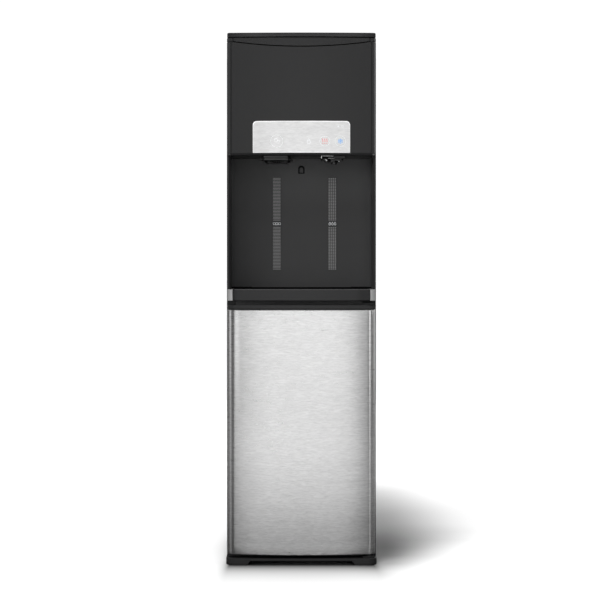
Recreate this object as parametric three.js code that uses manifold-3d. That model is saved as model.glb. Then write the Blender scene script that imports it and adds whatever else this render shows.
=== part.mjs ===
// Bottom load water cooler with an ice dispenser. Millimetres, +Z up, front towards -Y.
// The origin is at the middle of the footprint, on the floor.
import * as THREE from 'three';
import { mergeVertices } from 'three/addons/utils/BufferGeometryUtils.js';
import Module from 'manifold-3d';

const wasm = await Module();
wasm.setup();
const { Manifold, Mesh: SolidMesh } = wasm;

// ---------------------------------------------------------------- driving dimensions
const FRONT = -200; // foremost line of the crowned front
const HALF_BODY = 156; // half width over the steel side panels
const HALF_DOOR = 155.6; // half width of door, trims and fascia
const HALF_CAP = 154.8; // half width of the top cap and lid
const HALF_BASE = 157.2; // half width of the base plinth
const BODY_FRONT = -164; // front face of the bay frame
const BODY_REAR = 165; // rear edge of the side panels
const REAR = 200; // rearmost face of the condenser
const CROWN_R = 800; // radius of the crowned front, seen from above
const DOOR_CORNER = 19; // door corner radius
const FASCIA_CORNER = 9.5; // fascia corner radius
const SHEET = 1.2; // steel sheet
const WALL = 3; // moulded wall
const Z_BASE = 13.8; // top of the plinth
const Z_DOOR0 = 20.4; // door skin bottom
const Z_DOOR1 = 531.5; // door skin top
const Z_LIP = 541; // top of the door's finger lip
const Z_SHELF = 549.9; // top of the tray shelf
const Z_TRAY1 = 573.5; // rim of the drip tray
const Z_HEAD = 852; // underside of the head
const Z_PLATE = 857.3; // bottom of the control plate
const Z_PLATE1 = 923.3; // top of the control plate
const Z_SIDE1 = 1055.7; // top of the side panels
const Z_CAP = 1096.4; // top of the cap ring
const Z_TOP = 1107; // top of the lid
const ALCOVE_BACK = -62; // back wall of the dispensing alcove
const ALCOVE_HALF = 150.5; // half width inside the alcove
const SMILE_END = 1088.4, SMILE_MID = 1077.4; // arc seam under the lid lip
const PIVOT_X = 141, PIVOT_Y = -180; // door hinge axis
const LID_PIVOT_Y = 168.4, LID_PIVOT_Z = 1092.5; // lid hinge axis
const ICE_X = -51, NOZZLE_X = 64.5; // ice outlet and water outlet
const BOTTLE_R = 137.5, BOTTLE_Y = -12; // bottle's round recess

// ---------------------------------------------------------------- helpers
const fin = (a) => a.map((p) => new THREE.Vector2(p[0], p[1]));

function toSolid(geometry) {
  let g = geometry.index ? geometry.toNonIndexed() : geometry.clone();
  for (const n of Object.keys(g.attributes)) if (n !== 'position') g.deleteAttribute(n);
  g = mergeVertices(g, 1e-4);
  const tri = new Uint32Array(g.index.array);
  const make = () => new Manifold(new SolidMesh({ numProp: 3, vertProperties: new Float32Array(g.attributes.position.array), triVerts: tri }));
  let s = make();
  if (s.volume() < 0) {
    for (let i = 0; i < tri.length; i += 3) [tri[i + 1], tri[i + 2]] = [tri[i + 2], tri[i + 1]];
    s = make();
  }
  return s;
}
function toGeometry(s) {
  const m = s.getMesh();
  const g = new THREE.BufferGeometry();
  const n = m.vertProperties.length / m.numProp, p = new Float32Array(n * 3);
  for (let i = 0; i < n; i++) for (let k = 0; k < 3; k++) p[3 * i + k] = m.vertProperties[i * m.numProp + k];
  g.setAttribute('position', new THREE.BufferAttribute(p, 3));
  g.setIndex(new THREE.BufferAttribute(new Uint32Array(m.triVerts), 1));
  return g;
}
const shapeOf = (pts) => new THREE.Shape(fin(pts));
function basis(g, x, y, z) {
  const m = new THREE.Matrix4().makeBasis(new THREE.Vector3(...x), new THREE.Vector3(...y), new THREE.Vector3(...z));
  return g.applyMatrix4(m);
}
// polygon in XY raised from z0 to z1
function prismZ(pts, z0, z1) {
  return toSolid(new THREE.ExtrudeGeometry(shapeOf(pts), { depth: z1 - z0, bevelEnabled: false }).translate(0, 0, z0));
}
// polygon in XZ run from y0 to y1
function prismY(pts, y0, y1) {
  const g = new THREE.ExtrudeGeometry(shapeOf(pts), { depth: y1 - y0, bevelEnabled: false }).translate(0, 0, -y1);
  return toSolid(basis(g, [1, 0, 0], [0, 0, 1], [0, -1, 0]));
}
// polygon in YZ run from x0 to x1
function prismX(pts, x0, x1) {
  const g = new THREE.ExtrudeGeometry(shapeOf(pts), { depth: x1 - x0, bevelEnabled: false }).translate(0, 0, x0);
  return toSolid(basis(g, [0, 1, 0], [0, 0, 1], [1, 0, 0]));
}
const box = (x0, y0, z0, x1, y1, z1) =>
  toSolid(new THREE.BoxGeometry(x1 - x0, y1 - y0, z1 - z0).translate((x0 + x1) / 2, (y0 + y1) / 2, (z0 + z1) / 2));
// round bar along an axis; a and b are its ends on that axis
function bar(axis, c, a, b, r, n = 20, r2 = r) {
  const g = new THREE.CylinderGeometry(r2, r, b - a, n);
  if (axis === 'z') g.rotateX(Math.PI / 2).translate(c[0], c[1], (a + b) / 2);
  if (axis === 'y') g.translate(c[0], (a + b) / 2, c[1]);
  if (axis === 'x') g.rotateZ(-Math.PI / 2).translate((a + b) / 2, c[0], c[1]);
  return toSolid(g);
}
// turned shape about Z: pairs of radius and height, from the axis to the axis
function turned(pts, cx, cy, n = 24) {
  return toSolid(new THREE.LatheGeometry(fin(pts), n).rotateX(Math.PI / 2).translate(cx, cy, 0));
}
const union = (...a) => a.reduce((s, t) => s.add(t));
const cut = (s, ...a) => a.reduce((u, t) => u.subtract(t), s);

// The crowned front seen from above: from the left side round the front to the right side.
function frontLine(half, front, R, rc, nCrown = 14, nCorner = 5) {
  const cy = front + R, ccx = half - rc, ccy = cy - Math.sqrt((R - rc) ** 2 - ccx ** 2);
  const aT = Math.atan2(ccy - cy, ccx); // direction of the tangent point from the crown centre
  const right = [];
  for (let i = 0; i <= nCorner; i++) {
    const a = aT * (1 - i / nCorner); // from the tangent point round to the side
    right.push([ccx + rc * Math.cos(a), ccy + rc * Math.sin(a)]);
  }
  const xT = right[0][0], out = [];
  for (let i = nCorner; i >= 0; i--) out.push([-right[i][0], right[i][1]]);
  for (let i = 1; i < nCrown; i++) {
    const x = -xT + (2 * xT * i) / nCrown;
    out.push([x, cy - Math.sqrt(R * R - x * x)]);
  }
  for (const p of right) out.push(p);
  return out;
}
const crownY = (x, front = FRONT, R = CROWN_R) => front + R - Math.sqrt(R * R - x * x);
// keep the stretch of a front line with y below a limit
const clip = (line, yMax) => {
  const out = [];
  for (let i = 0; i < line.length; i++) {
    const p = line[i], q = line[i + 1];
    if (p[1] <= yMax) out.push(p);
    if (q && (p[1] - yMax) * (q[1] - yMax) < 0) {
      const t = (yMax - p[1]) / (q[1] - p[1]);
      out.push([p[0] + t * (q[0] - p[0]), yMax]);
    }
  }
  return out;
};
// a crowned band of a given thickness, front face on the crown moved back by inset
function crownBand(half, inset, thick, z0, z1, n = 12) {
  const f = [], b = [];
  for (let i = 0; i <= n; i++) {
    const x = -half + (2 * half * i) / n;
    f.push([x, crownY(x) + inset]);
    b.push([x, crownY(x) + inset + thick]);
  }
  return prismZ([...f, ...b.reverse()], z0, z1);
}
const roundRect = (x0, z0, x1, z1, rTop, rBot, n = 5) => {
  const p = [];
  const arc = (cx, cz, r, a0) => {
    if (r <= 0) return p.push([cx, cz]);
    for (let i = 0; i <= n; i++) p.push([cx + r * Math.cos(a0 + (i / n) * Math.PI / 2), cz + r * Math.sin(a0 + (i / n) * Math.PI / 2)]);
  };
  arc(x1 - rTop, z1 - rTop, rTop, 0);
  arc(x0 + rTop, z1 - rTop, rTop, Math.PI / 2);
  arc(x0 + rBot, z0 + rBot, rBot, Math.PI);
  arc(x1 - rBot, z0 + rBot, rBot, -Math.PI / 2);
  return p;
};
// two outlines with the same number of points, joined from z0 to z1
function loft(lower, upper, z0, z1) {
  const g = new THREE.ExtrudeGeometry(shapeOf(lower), { depth: 1, bevelEnabled: false });
  const p = g.attributes.position;
  for (let i = 0; i < p.count; i++) {
    if (p.getZ(i) < 0.5) { p.setZ(i, z0); continue; }
    let best = 0, d = 1e9;
    lower.forEach((q, k) => { const e = (q[0] - p.getX(i)) ** 2 + (q[1] - p.getY(i)) ** 2; if (e < d) { d = e; best = k; } });
    p.setXYZ(i, upper[best][0], upper[best][1], z1);
  }
  return toSolid(g);
}
// A route whose sections are exactly the points given.
class Route extends THREE.Curve {
  constructor(pts) { super(); this.pts = pts.map((p) => new THREE.Vector3(...p)); }
  at(u) { return Math.min(this.pts.length - 1, Math.max(0, Math.round(u * (this.pts.length - 1)))); }
  getPoint(u, t = new THREE.Vector3()) { return t.copy(this.pts[this.at(u)]); }
  getPointAt(u, t) { return this.getPoint(u, t); }
  getSpacedPoints() { return this.pts.map((p) => p.clone()); }
  getTangentAt(u, t = new THREE.Vector3()) {
    const i = this.at(u), a = this.pts[Math.max(0, i - 1)], b = this.pts[Math.min(this.pts.length - 1, i + 1)];
    return t.subVectors(b, a).normalize();
  }
  getTangent(u, t) { return this.getTangentAt(u, t); }
}
function tube(pts, r, sides = 6) {
  const c = [];
  for (let i = 0; i < sides; i++) c.push([r * Math.cos((2 * Math.PI * i) / sides), r * Math.sin((2 * Math.PI * i) / sides)]);
  return toSolid(new THREE.ExtrudeGeometry(shapeOf(c), { steps: pts.length - 1, extrudePath: new Route(pts) }));
}

const cooler = new THREE.Group();
cooler.name = 'bottom_load_water_cooler';
const cabinet = new THREE.Group(), door = new THREE.Group(), lid = new THREE.Group(), tray = new THREE.Group(), works = new THREE.Group();
cooler.add(cabinet, door, lid, tray, works);
const MAT = {
  black: [0x2f2f2f, 0.45, 0], blackSatin: [0x353535, 0.38, 0], dark: [0x161616, 0.6, 0], steel: [0xb9b9b7, 0.32, 1], plate: [0xdcdcda, 0.3, 1],
  painted: [0x2b2b2b, 0.5, 0.1], rubber: [0x151515, 0.85, 0], gloss: [0x101010, 0.12, 0], white: [0xe6e8ea, 0.4, 0], red: [0xb01e1e, 0.4, 0],
  blue: [0x2a62b0, 0.4, 0], zinc: [0x9a9da0, 0.4, 1], copper: [0xb06a3a, 0.35, 1], green: [0x1f5a36, 0.5, 0], strip: [0x6a6a6a, 0.5, 0],
  clear: [0xcfd8dd, 0.2, 0], foam: [0xb9b49c, 0.9, 0], wire: [0x1b1b1b, 0.5, 0.2],
};
function node(parent, name, solid, mat) {
  const [color, roughness, metalness] = MAT[mat];
  const m = new THREE.Mesh(toGeometry(solid), new THREE.MeshStandardMaterial({ color, roughness, metalness }));
  m.name = name;
  parent.add(m);
  return m;
}

// ---------------------------------------------------------------- base
{
  const outline = (h, f, rf, rb, yb, n = 4) => {
    const p = [];
    const arc = (cx, cy, r, a0) => { for (let i = 0; i <= n; i++) p.push([cx + r * Math.cos(a0 + (i / n) * Math.PI / 2), cy + r * Math.sin(a0 + (i / n) * Math.PI / 2)]); };
    arc(-h + rf, f + rf, rf, Math.PI);
    arc(h - rf, f + rf, rf, -Math.PI / 2);
    arc(h - rb, yb - rb, rb, 0);
    arc(-h + rb, yb - rb, rb, Math.PI / 2);
    return p;
  };
  const outer = prismZ(outline(HALF_BASE, -197.5, 20, 6, 166.5), 0.6, Z_BASE);
  const inner = prismZ(outline(HALF_BASE - 5, -192.5, 15, 3, 161.5), 0, Z_BASE - 3.4);
  // the kick cut-out: a low trapezoid right through the front wall
  const kick = prismY([[-113, -1], [111.5, -1], [111.5, 0], [105.5, 8.6], [-107, 8.6], [-113, 0]], -205, -185);
  node(cabinet, 'base_plinth', cut(outer, inner, kick), 'black');
  for (const [name, x, y] of [['foot_front_left', -135, -170], ['foot_front_right', 135, -170], ['foot_rear_left', -135, 140], ['foot_rear_right', 135, 140]]) {
    node(cabinet, name, turned([[0, 0], [11.2, 0], [12, 0.8], [12, 5], [9, 10], [0, 10]], x, y, 16), 'rubber');
  }
}

// ---------------------------------------------------------------- cabinet sheet metal
for (const [name, s] of [['left_side_panel', -1], ['right_side_panel', 1]]) {
  const o = HALF_BODY, i = HALF_BODY - SHEET;
  const plan = [[138, BODY_FRONT], [o, BODY_FRONT], [o, BODY_REAR], [144, BODY_REAR], [144, BODY_REAR - SHEET], [i, BODY_REAR - SHEET], [i, BODY_FRONT + SHEET], [138, BODY_FRONT + SHEET]]
    .map(([x, y]) => [s * x, y]);
  if (s < 0) plan.reverse();
  const notch = box(s > 0 ? 130 : -i, BODY_FRONT - 1, Z_SHELF + 0.05, s > 0 ? i : -130, BODY_FRONT + 3, Z_SIDE1 + 1);
  node(cabinet, name, cut(prismZ(plan, Z_BASE + 0.3, Z_SIDE1), notch), 'painted');
}
{
  // one rear sheet with louvre slots, a switch window, and holes for the drain and the cord gland
  let rear = box(-155, BODY_REAR + 0.3, Z_BASE + 0.3, 155, BODY_REAR + 1.8, Z_SIDE1);
  const holes = [];
  for (const x0 of [-122, 22]) for (let i = 0; i < 9; i++) holes.push(box(x0, 160, 902 + i * 15, x0 + 100, 170, 907 + i * 15));
  holes.push(box(-104, 160, 812, -56, 170, 840));
  holes.push(bar('y', [-60, 72], 160, 170, 9.5, 20), bar('y', [70, 72], 160, 170, 8, 20));
  node(cabinet, 'rear_panel', cut(rear, ...holes), 'painted');
}
{
  const floor = union(box(-152, -162.4, Z_BASE + 0.4, 152, 163.5, 22), box(-137.7, BODY_FRONT, Z_BASE + 0.4, 137.7, -158, 34));
  node(cabinet, 'bottle_floor', cut(floor, bar('z', [0, BOTTLE_Y], 19, 30, BOTTLE_R, 40)), 'black');
}
node(cabinet, 'mid_deck', cut(box(-154.4, -58.6, 556, 154.4, 163.4, 558), bar('z', [105, -20], 550, 560, 7.5, 12)), 'zinc');
node(cabinet, 'tray_shelf', union(box(-150.2, -162.4, 546, 150.2, -59, Z_SHELF), box(-137.7, BODY_FRONT, 518, 137.7, -160.5, Z_SHELF)), 'black');

// ---------------------------------------------------------------- alcove
{
  const r = 12, t = WALL, h = ALCOVE_HALF, b = ALCOVE_BACK, half = [];
  const arc = (cx, cy, rr, a0, a1, n = 4) => { const p = []; for (let i = 0; i <= n; i++) { const a = a0 + (a1 - a0) * i / n; p.push([cx + rr * Math.cos(a), cy + rr * Math.sin(a)]); } return p; };
  const inR = [[h + 0.7, -172], [h, -171.3], ...arc(h - r, b - r, r, 0, Math.PI / 2)];
  const outR = [...arc(h - r, b - r, r + t, Math.PI / 2, 0), [h + t, BODY_FRONT - 0.3], [HALF_DOOR, BODY_FRONT - 0.3], [HALF_DOOR, -170], [155, -171.4], [153.6, -172]];
  const right = [...inR, ...outR]; // right half runs inner then outer
  const mirror = (a) => a.map(([x, y]) => [-x, y]);
  const plan = [...inR, ...mirror(inR).reverse(), ...mirror(outR).reverse(), ...outR];
  const walls = prismZ(plan, Z_SHELF + 0.3, Z_HEAD - 0.3);
  const wallTop = prismZ(plan, Z_HEAD - 0.4, Z_HEAD + 1).intersect(box(-147, -200, 800, 147, 200, 900)).add(
    prismZ(plan, Z_HEAD - 0.4, Z_HEAD + 1).intersect(box(-153.5, -147, 800, 153.5, 200, 900)));
  const edge = clip(frontLine(HALF_DOOR - 8.1, FRONT + 8.1, CROWN_R - 8.1, 3, 14, 3), BODY_FRONT);
  const ceiling = prismZ([...edge, [147.5, BODY_FRONT], [153.4, BODY_FRONT + 1.5], [153.4, -59], [-153.4, -59], [-153.4, BODY_FRONT + 1.5], [-147.5, BODY_FRONT]].filter((p, i, a) => !i || Math.hypot(p[0] - a[i - 1][0], p[1] - a[i - 1][1]) > 0.05), Z_HEAD + 0.3, Z_HEAD + 3.3);
  let liner = union(walls, wallTop, ceiling);
  liner = cut(liner, box(ICE_X - 33.5, -150.5, 840, ICE_X + 33.5, -99.5, 870)); // ice chute
  liner = cut(liner, bar('z', [NOZZLE_X, -136], 840, 870, 9, 16)); // water pipe
  // recesses for the night light and the two strips
  liner = cut(liner, prismY(roundRect(-6.7, 820.8, 6.7, 839.2, 6.6, 0.6), -62.5, -60.6));
  liner = cut(liner, box(-61.7, -62.5, 614.5, -43.9, -60.8, 813.5), box(57.8, -62.5, 614.5, 75.6, -60.8, 813.5));
  node(cabinet, 'alcove_liner', liner, 'black');
  node(cabinet, 'night_light_lens', prismY(roundRect(-6.3, 821.2, 6.3, 838.8, 6.2, 0.4), -62.3, -60.9), 'dark');
  node(cabinet, 'ice_strip', box(-61.3, -62.2, 615, -44.3, -61.1, 813), 'strip');
  node(cabinet, 'water_strip', box(58.2, -62.2, 615, 75.2, -61.1, 813), 'strip');
}
{
  // ice chute: a square duct from the bin down through the ceiling, with a narrower outlet
  const x = ICE_X;
  let duct = union(box(x - 33, -150, 845, x + 33, -100, 899.4), loft(roundRect(x - 24, -145, x + 24, -105, 6, 6, 2), roundRect(x - 29, -148, x + 29, -101, 6, 6, 2), 838.6, 845.2));
  duct = cut(duct, box(x - 20, -141.5, 830, x + 20, -108.5, 905));
  node(cabinet, 'ice_chute', duct, 'black');
  node(works, 'chute_flap', union(box(x - 19.4, -140.9, 840, x + 19.4, -111, 841.4), bar('x', [-111.2, 841.4], x - 19.4, x + 19.4, 1.4, 10)), 'dark');
}
{
  const x = NOZZLE_X;
  const h = union(prismZ(roundRect(x - 23.5, -161, x + 23.5, -112, 4, 8, 3), 843.6, Z_HEAD), bar('z', [x, -136], 851, 866, 8.4, 16));
  node(cabinet, 'nozzle_housing', h, 'gloss');
  node(cabinet, 'water_nozzle', union(prismZ(roundRect(x - 15.5, -154, x + 13.5, -120, 3, 6, 3), 840.4, 843.2), turned([[0, 836], [5.5, 836], [6.4, 837], [7.4, 841], [0, 841]], x + 4, -139, 16)), 'gloss');
}

// ---------------------------------------------------------------- head
{
  const H = HALF_DOOR, RC = FASCIA_CORNER;
  const line = (i) => frontLine(H - i, FRONT + i, CROWN_R - i, Math.max(1.5, RC - i), 14, 5);
  const shell = (i, t, z0, z1) => {
    const o = line(i), n = line(i + t);
    const lim = BODY_FRONT - 0.3;
    return prismZ([[o[0][0], lim], ...o, [o[o.length - 1][0], lim], [n[n.length - 1][0], lim], ...n.slice().reverse(), [n[0][0], lim]], z0, z1);
  };
  const body = shell(0, WALL, Z_PLATE, Z_CAP);
  // lower lip: thick, and drawn in towards its bottom edge
  const full = (i) => { const o = line(i); return [[o[0][0], BODY_FRONT - 0.3], ...o, [o[o.length - 1][0], BODY_FRONT - 0.3]]; };
  const lipOuter = loft(full(4), full(0), Z_HEAD, Z_PLATE + 0.01);
  const inner = prismZ(full(7.7).map(([x, y]) => [x, y > -165 ? y + 2 : y]), Z_HEAD - 1, Z_PLATE + 1);
  let f = union(body, cut(lipOuter, inner));
  // arc seam: what lies above the arc between the cheeks belongs to the lid
  const R = (143.2 ** 2 + (SMILE_END - SMILE_MID) ** 2) / (2 * (SMILE_END - SMILE_MID));
  const arc = (half, dz, n = 18) => { const p = []; for (let i = 0; i <= n; i++) { const x = -half + 2 * half * i / n; p.push([x, SMILE_MID + dz + R - Math.sqrt(R * R - x * x)]); } return p; };
  f = cut(f, prismY([...arc(143.2, 0), [143.2, Z_CAP + 2], [-143.2, Z_CAP + 2]], FRONT - 5, -170));
  // vertical grooves
  for (const s of [-1, 1]) {
    const y = crownY(146.3);
    f = cut(f, toSolid(new THREE.BoxGeometry(1.8, 3, 232).rotateZ(s * 0.2).translate(s * 146.3, y, Z_PLATE + 116.4)));
  }
  // shallow seat for the control plate and holes for the keys
  const seat = crownBand(101.4, -1, 2.2, Z_PLATE - 1, Z_PLATE1 + 0.4, 12).intersect(prismY(roundRect(-101.3, Z_PLATE - 0.3, 101.3, Z_PLATE1 + 0.3, 8.3, 0), FRONT - 3, -180));
  f = cut(f, seat);
  const keys = [['ice_key', -51.2, 13.4, 'plate'], ['hot_key', 48.5, 9.3, 'plate'], ['cold_key', 80.8, 9.8, 'plate']];
  let plate = crownBand(101, 0, 1, Z_PLATE, Z_PLATE1, 12).intersect(prismY(roundRect(-101, Z_PLATE, 101, Z_PLATE1, 8, 0), FRONT - 3, -180));
  for (const [name, x, r, mat] of keys) {
    const bore = bar('y', [x, 881.5], FRONT - 5, -180, r + 0.4, 24);
    f = cut(f, bore);
    plate = cut(plate, bore);
    const cap = bar('y', [x, 881.5], crownY(x) - 0.35, crownY(x) + 5, r, 24);
    const rim = bar('y', [x, 881.5], crownY(x) + 4, crownY(x) + 5, r, 24);
    node(works, name, union(cap, rim), mat);
  }
  node(cabinet, 'front_fascia', f, 'blackSatin');
  node(cabinet, 'control_plate', plate, 'plate');
  // board behind the plate, held on posts
  let board = box(-78, -189, 862, 98, -187.4, 918);
  board = union(board, box(-40, -187.5, 866, 10, -179, 880), box(40, -187.5, 895, 70, -176, 914), bar('y', [-62, 905], -193.8, -188, 2.5, 8), bar('y', [20, 905], -195.8, -188, 2.5, 8));
  node(cabinet, 'control_board', board, 'green');

  // lid lip: the lens-shaped grip between the arc seam and the lid
  const lens = crownBand(142.6, 0, WALL, 1060, 1100, 14).intersect(prismY([...arc(142.6, 1), [142.6, 1096.2], [-142.6, 1096.2]], FRONT - 5, -170));
  const tabs = [-60, 60].map((x) => box(x - 10, crownY(60) + 0.6, 1086, x + 10, crownY(60) + 5, 1102.5));
  node(lid, 'lid_lip', union(lens, ...tabs), 'blackSatin');
}
{
  // cap ring on top of the side panels, with the deck round the bin's mouth and the lid's hinge ears
  const o = HALF_CAP, i = HALF_CAP - 2.5, z0 = Z_SIDE1 + 0.3;
  let ring = cut(box(-o, BODY_FRONT + 0.3, z0, o, BODY_REAR, Z_CAP), box(-i, BODY_FRONT + 2.8, z0 - 1, i, BODY_REAR - 2.5, Z_CAP + 1));
  ring = cut(ring, box(-i, BODY_FRONT - 1, 1066, i, BODY_FRONT + 3, Z_CAP + 1));
  ring = union(ring, cut(box(-i - 1, BODY_FRONT + 1, 1060, i + 1, BODY_REAR - 1, 1062.5), box(-147, -161, 1050, 52, 4, 1070)));
  for (const s of [-1, 1]) for (const [a, b, pa, pb] of [[105.4, 109, 100, 106], [81, 84.6, 84, 90]]) {
    const x0 = Math.min(s * a, s * b), x1 = Math.max(s * a, s * b), p0 = Math.min(s * pa, s * pb), p1 = Math.max(s * pa, s * pb);
    ring = union(ring, prismX([[164, 1083], [168.4, 1088], [171.3, 1091], [171.3, 1094], [169.8, 1095.4], [164, 1095.4]], x0, x1), bar('x', [LID_PIVOT_Y, LID_PIVOT_Z], p0, p1, 1.5, 10));
  }
  node(cabinet, 'top_cap', ring, 'black');

  const plan = (half, f, R, rc) => [...frontLine(half, f, R, rc, 14, 3), [half, LID_PIVOT_Y + 2.9], [-half, LID_PIVOT_Y + 2.9]];
  const outer = union(loft(plan(HALF_CAP, FRONT + 0.3, CROWN_R, 8), plan(HALF_CAP - 0.3, FRONT + 3.5, 1600, 7), 1097.2, Z_TOP));
  const hollow = prismZ(plan(HALF_CAP - 4.5, FRONT + 8, 1200, 4).map(([x, y]) => [x, Math.min(y, 160)]), 1090, Z_TOP - 3.2);
  let top = cut(outer, hollow);
  for (const x of [-60, 60]) top = cut(top, box(x - 10.4, crownY(60) + 0.2, 1090, x + 10.4, crownY(60) + 5.4, 1103));
  for (const s of [-1, 1]) {
    const x0 = Math.min(s * 84.9, s * 105.1), x1 = Math.max(s * 84.9, s * 105.1);
    top = union(top, bar('x', [LID_PIVOT_Y, LID_PIVOT_Z], x0, x1, 2.9, 14), box(x0, LID_PIVOT_Y - 2.9, LID_PIVOT_Z, x1, LID_PIVOT_Y + 2.9, 1099));
    top = cut(top, bar('x', [LID_PIVOT_Y, LID_PIVOT_Z], x0 - 0.5, x0 + 6, 1.95, 10), bar('x', [LID_PIVOT_Y, LID_PIVOT_Z], x1 - 6, x1 + 0.5, 1.95, 10));
  }
  node(lid, 'top_lid', top, 'blackSatin');
}

// ---------------------------------------------------------------- door
{
  const SIDE_END = -175.5, BACK = -168;
  const o = clip(frontLine(HALF_DOOR, FRONT, CROWN_R, DOOR_CORNER, 16, 7), SIDE_END);
  const n = clip(frontLine(HALF_DOOR - SHEET, FRONT + SHEET, CROWN_R - SHEET, DOOR_CORNER - SHEET, 16, 7), SIDE_END);
  node(door, 'door_skin', prismZ([...o, ...n.slice().reverse()], Z_DOOR0, Z_DOOR1), 'steel');
  const tail = (x) => [[x, SIDE_END], [149.5, BACK], [-149.5, BACK], [-x, SIDE_END]];
  const fill = (i) => clip(frontLine(HALF_DOOR - i, FRONT + i, CROWN_R - i, DOOR_CORNER - i, 16, 7), SIDE_END + 0.01);
  const capPlan = (i) => { const l = fill(i); return [...l, [149.5 - i * 0.4, BACK], [-149.5 + i * 0.4, BACK]]; };
  // finger lip and scoop along the top of the door
  let cap = union(prismZ(capPlan(1.6), Z_DOOR1 + 0.3, 534.2), prismZ(capPlan(0), 533.8, Z_LIP));
  cap = union(cap, prismZ([[-98, -191.4], [98, -191.4], [98, -171.5], [-98, -171.5]], 512, 533));
  cap = cut(cap, box(-95, -189, 514.5, 95, -173.6, 545), bar('z', [PIVOT_X, PIVOT_Y], 533, 545, 3.4, 16));
  node(door, 'door_top_cap', cap, 'black');
  let low = prismZ(capPlan(SHEET + 0.35), Z_DOOR0 + 0.6, 33);
  low = cut(low, bar('z', [PIVOT_X, PIVOT_Y], 20, 30, 3.4, 16));
  node(door, 'door_bottom_cap', low, 'black');
  const ix = HALF_DOOR - SHEET - 3;
  node(door, 'door_liner', prismZ([[-ix + 1, -177], [-149, BACK], [149, BACK], [ix - 1, -177], [ix - 4, -177], [146, -171], [-146, -171], [-ix + 4, -177]].reverse(), 33.3, Z_DOOR1), 'black');
  node(door, 'door_gasket', cut(box(-140.5, BACK + 0.3, 24.5, 140.5, -164.4, 528), box(-131.5, -170, 33.5, 131.5, -160, 519)), 'rubber');
  // hinge brackets with their pins, fixed to the cabinet
  node(cabinet, 'hinge_bracket_top', union(box(128, -189, Z_LIP + 0.8, 152, BODY_FRONT - 0.3, Z_LIP + 3.6), box(128, BODY_FRONT - 2.6, Z_LIP + 0.8, 152, BODY_FRONT - 0.3, 549.6), bar('z', [PIVOT_X, PIVOT_Y], 533.8, Z_LIP + 2, 3, 16)), 'zinc');
  node(cabinet, 'hinge_bracket_bottom', union(box(128, -189, Z_BASE + 0.3, 152, BODY_FRONT - 0.3, 17), bar('z', [PIVOT_X, PIVOT_Y], 16, 20.2, 5.5, 16), bar('z', [PIVOT_X, PIVOT_Y], 19, 29.2, 3, 16)), 'zinc');
}

// ---------------------------------------------------------------- drip tray and its steel trims
{
  for (const s of [-1, 1]) {
    const c = clip(frontLine(HALF_DOOR, FRONT, CROWN_R, DOOR_CORNER, 16, 7), -172.3).filter((p) => p[0] > 143.6);
    const plan = [[143.6, crownY(143.6) + 0.4], ...c, [150.2, -172.3], [150.2, -75], [143.6, -75]].map(([x, y]) => [s * x, y]);
    node(cabinet, s < 0 ? 'tray_trim_left' : 'tray_trim_right', prismZ(plan, Z_SHELF + 0.3, Z_TRAY1), 'steel');
  }
  const half = 143;
  const crown = (i) => { const p = []; for (let k = 0; k <= 14; k++) { const x = -(half - i) + 2 * (half - i) * k / 14; p.push([x, crownY(x) + i]); } return p; };
  const plan = (i, back) => [...crown(i), [half - i, back], [-(half - i), back]];
  let t = prismZ(plan(0, -64.6), Z_SHELF + 0.7, Z_TRAY1);
  t = cut(t, prismZ(plan(7, -71.5), 553.6, 580), prismZ(plan(2.6, -67.2), 569.3, 580));
  node(tray, 'drip_tray', t, 'black');
  let g = prismZ(plan(3, -67.6), 569.6, 573.2);
  const slots = [];
  for (let i = 0; i < 15; i++) { const x = -122.5 + i * 17.5; slots.push(box(x - 2.6, -180, 560, x + 2.6, -129, 580), box(x - 2.6, -122, 560, x + 2.6, -76, 580)); }
  node(tray, 'drip_grille', cut(g, ...slots), 'dark');
}

// ---------------------------------------------------------------- bottle probe, hose and pump
{
  const px = 116, py = 118;
  node(works, 'bottle_probe', union(bar('z', [px, py], 95, 457.5, 8, 12), bar('z', [px, py], 86, 96, 10.5, 12)), 'white');
  node(works, 'probe_cap', cut(union(bar('z', [px, py], 436.6, 464, 28, 20), bar('z', [px, py], 463, 472, 9, 12)), bar('z', [px, py], 430, 458, 24.5, 20)), 'blue');
  let hanger = union(box(92, 94, 433, 140, 164.9, 436.2), box(92, 162, 416, 140, 164.9, 436.2));
  hanger = cut(hanger, box(px - 9.5, 80, 430, px + 9.5, py, 440), bar('z', [px, py], 430, 440, 9.5, 16));
  node(cabinet, 'probe_hanger', hanger, 'zinc');
  const path = [[105, -20, 562.2], [105, -20, 552], [105, -20, 540], [105, -17, 528], [106, -8, 519], [107.5, 6, 514], [109, 24, 512], [111, 46, 511.5], [113, 68, 511], [114.8, 88, 509.5], [115.7, 103, 505], [116, 113, 497], [116, 117, 487], [116, 118, 477], [116, 118, 472.3]];
  node(cabinet, 'suction_hose', tube(path, 5, 8), 'clear');
  node(cabinet, 'water_pump', union(box(84, -40, 562.5, 126, 0, 596), bar('z', [105, -20], 595, 628, 17, 18), bar('y', [105, 580], -1, 12, 4, 10)), 'dark');
}

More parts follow.
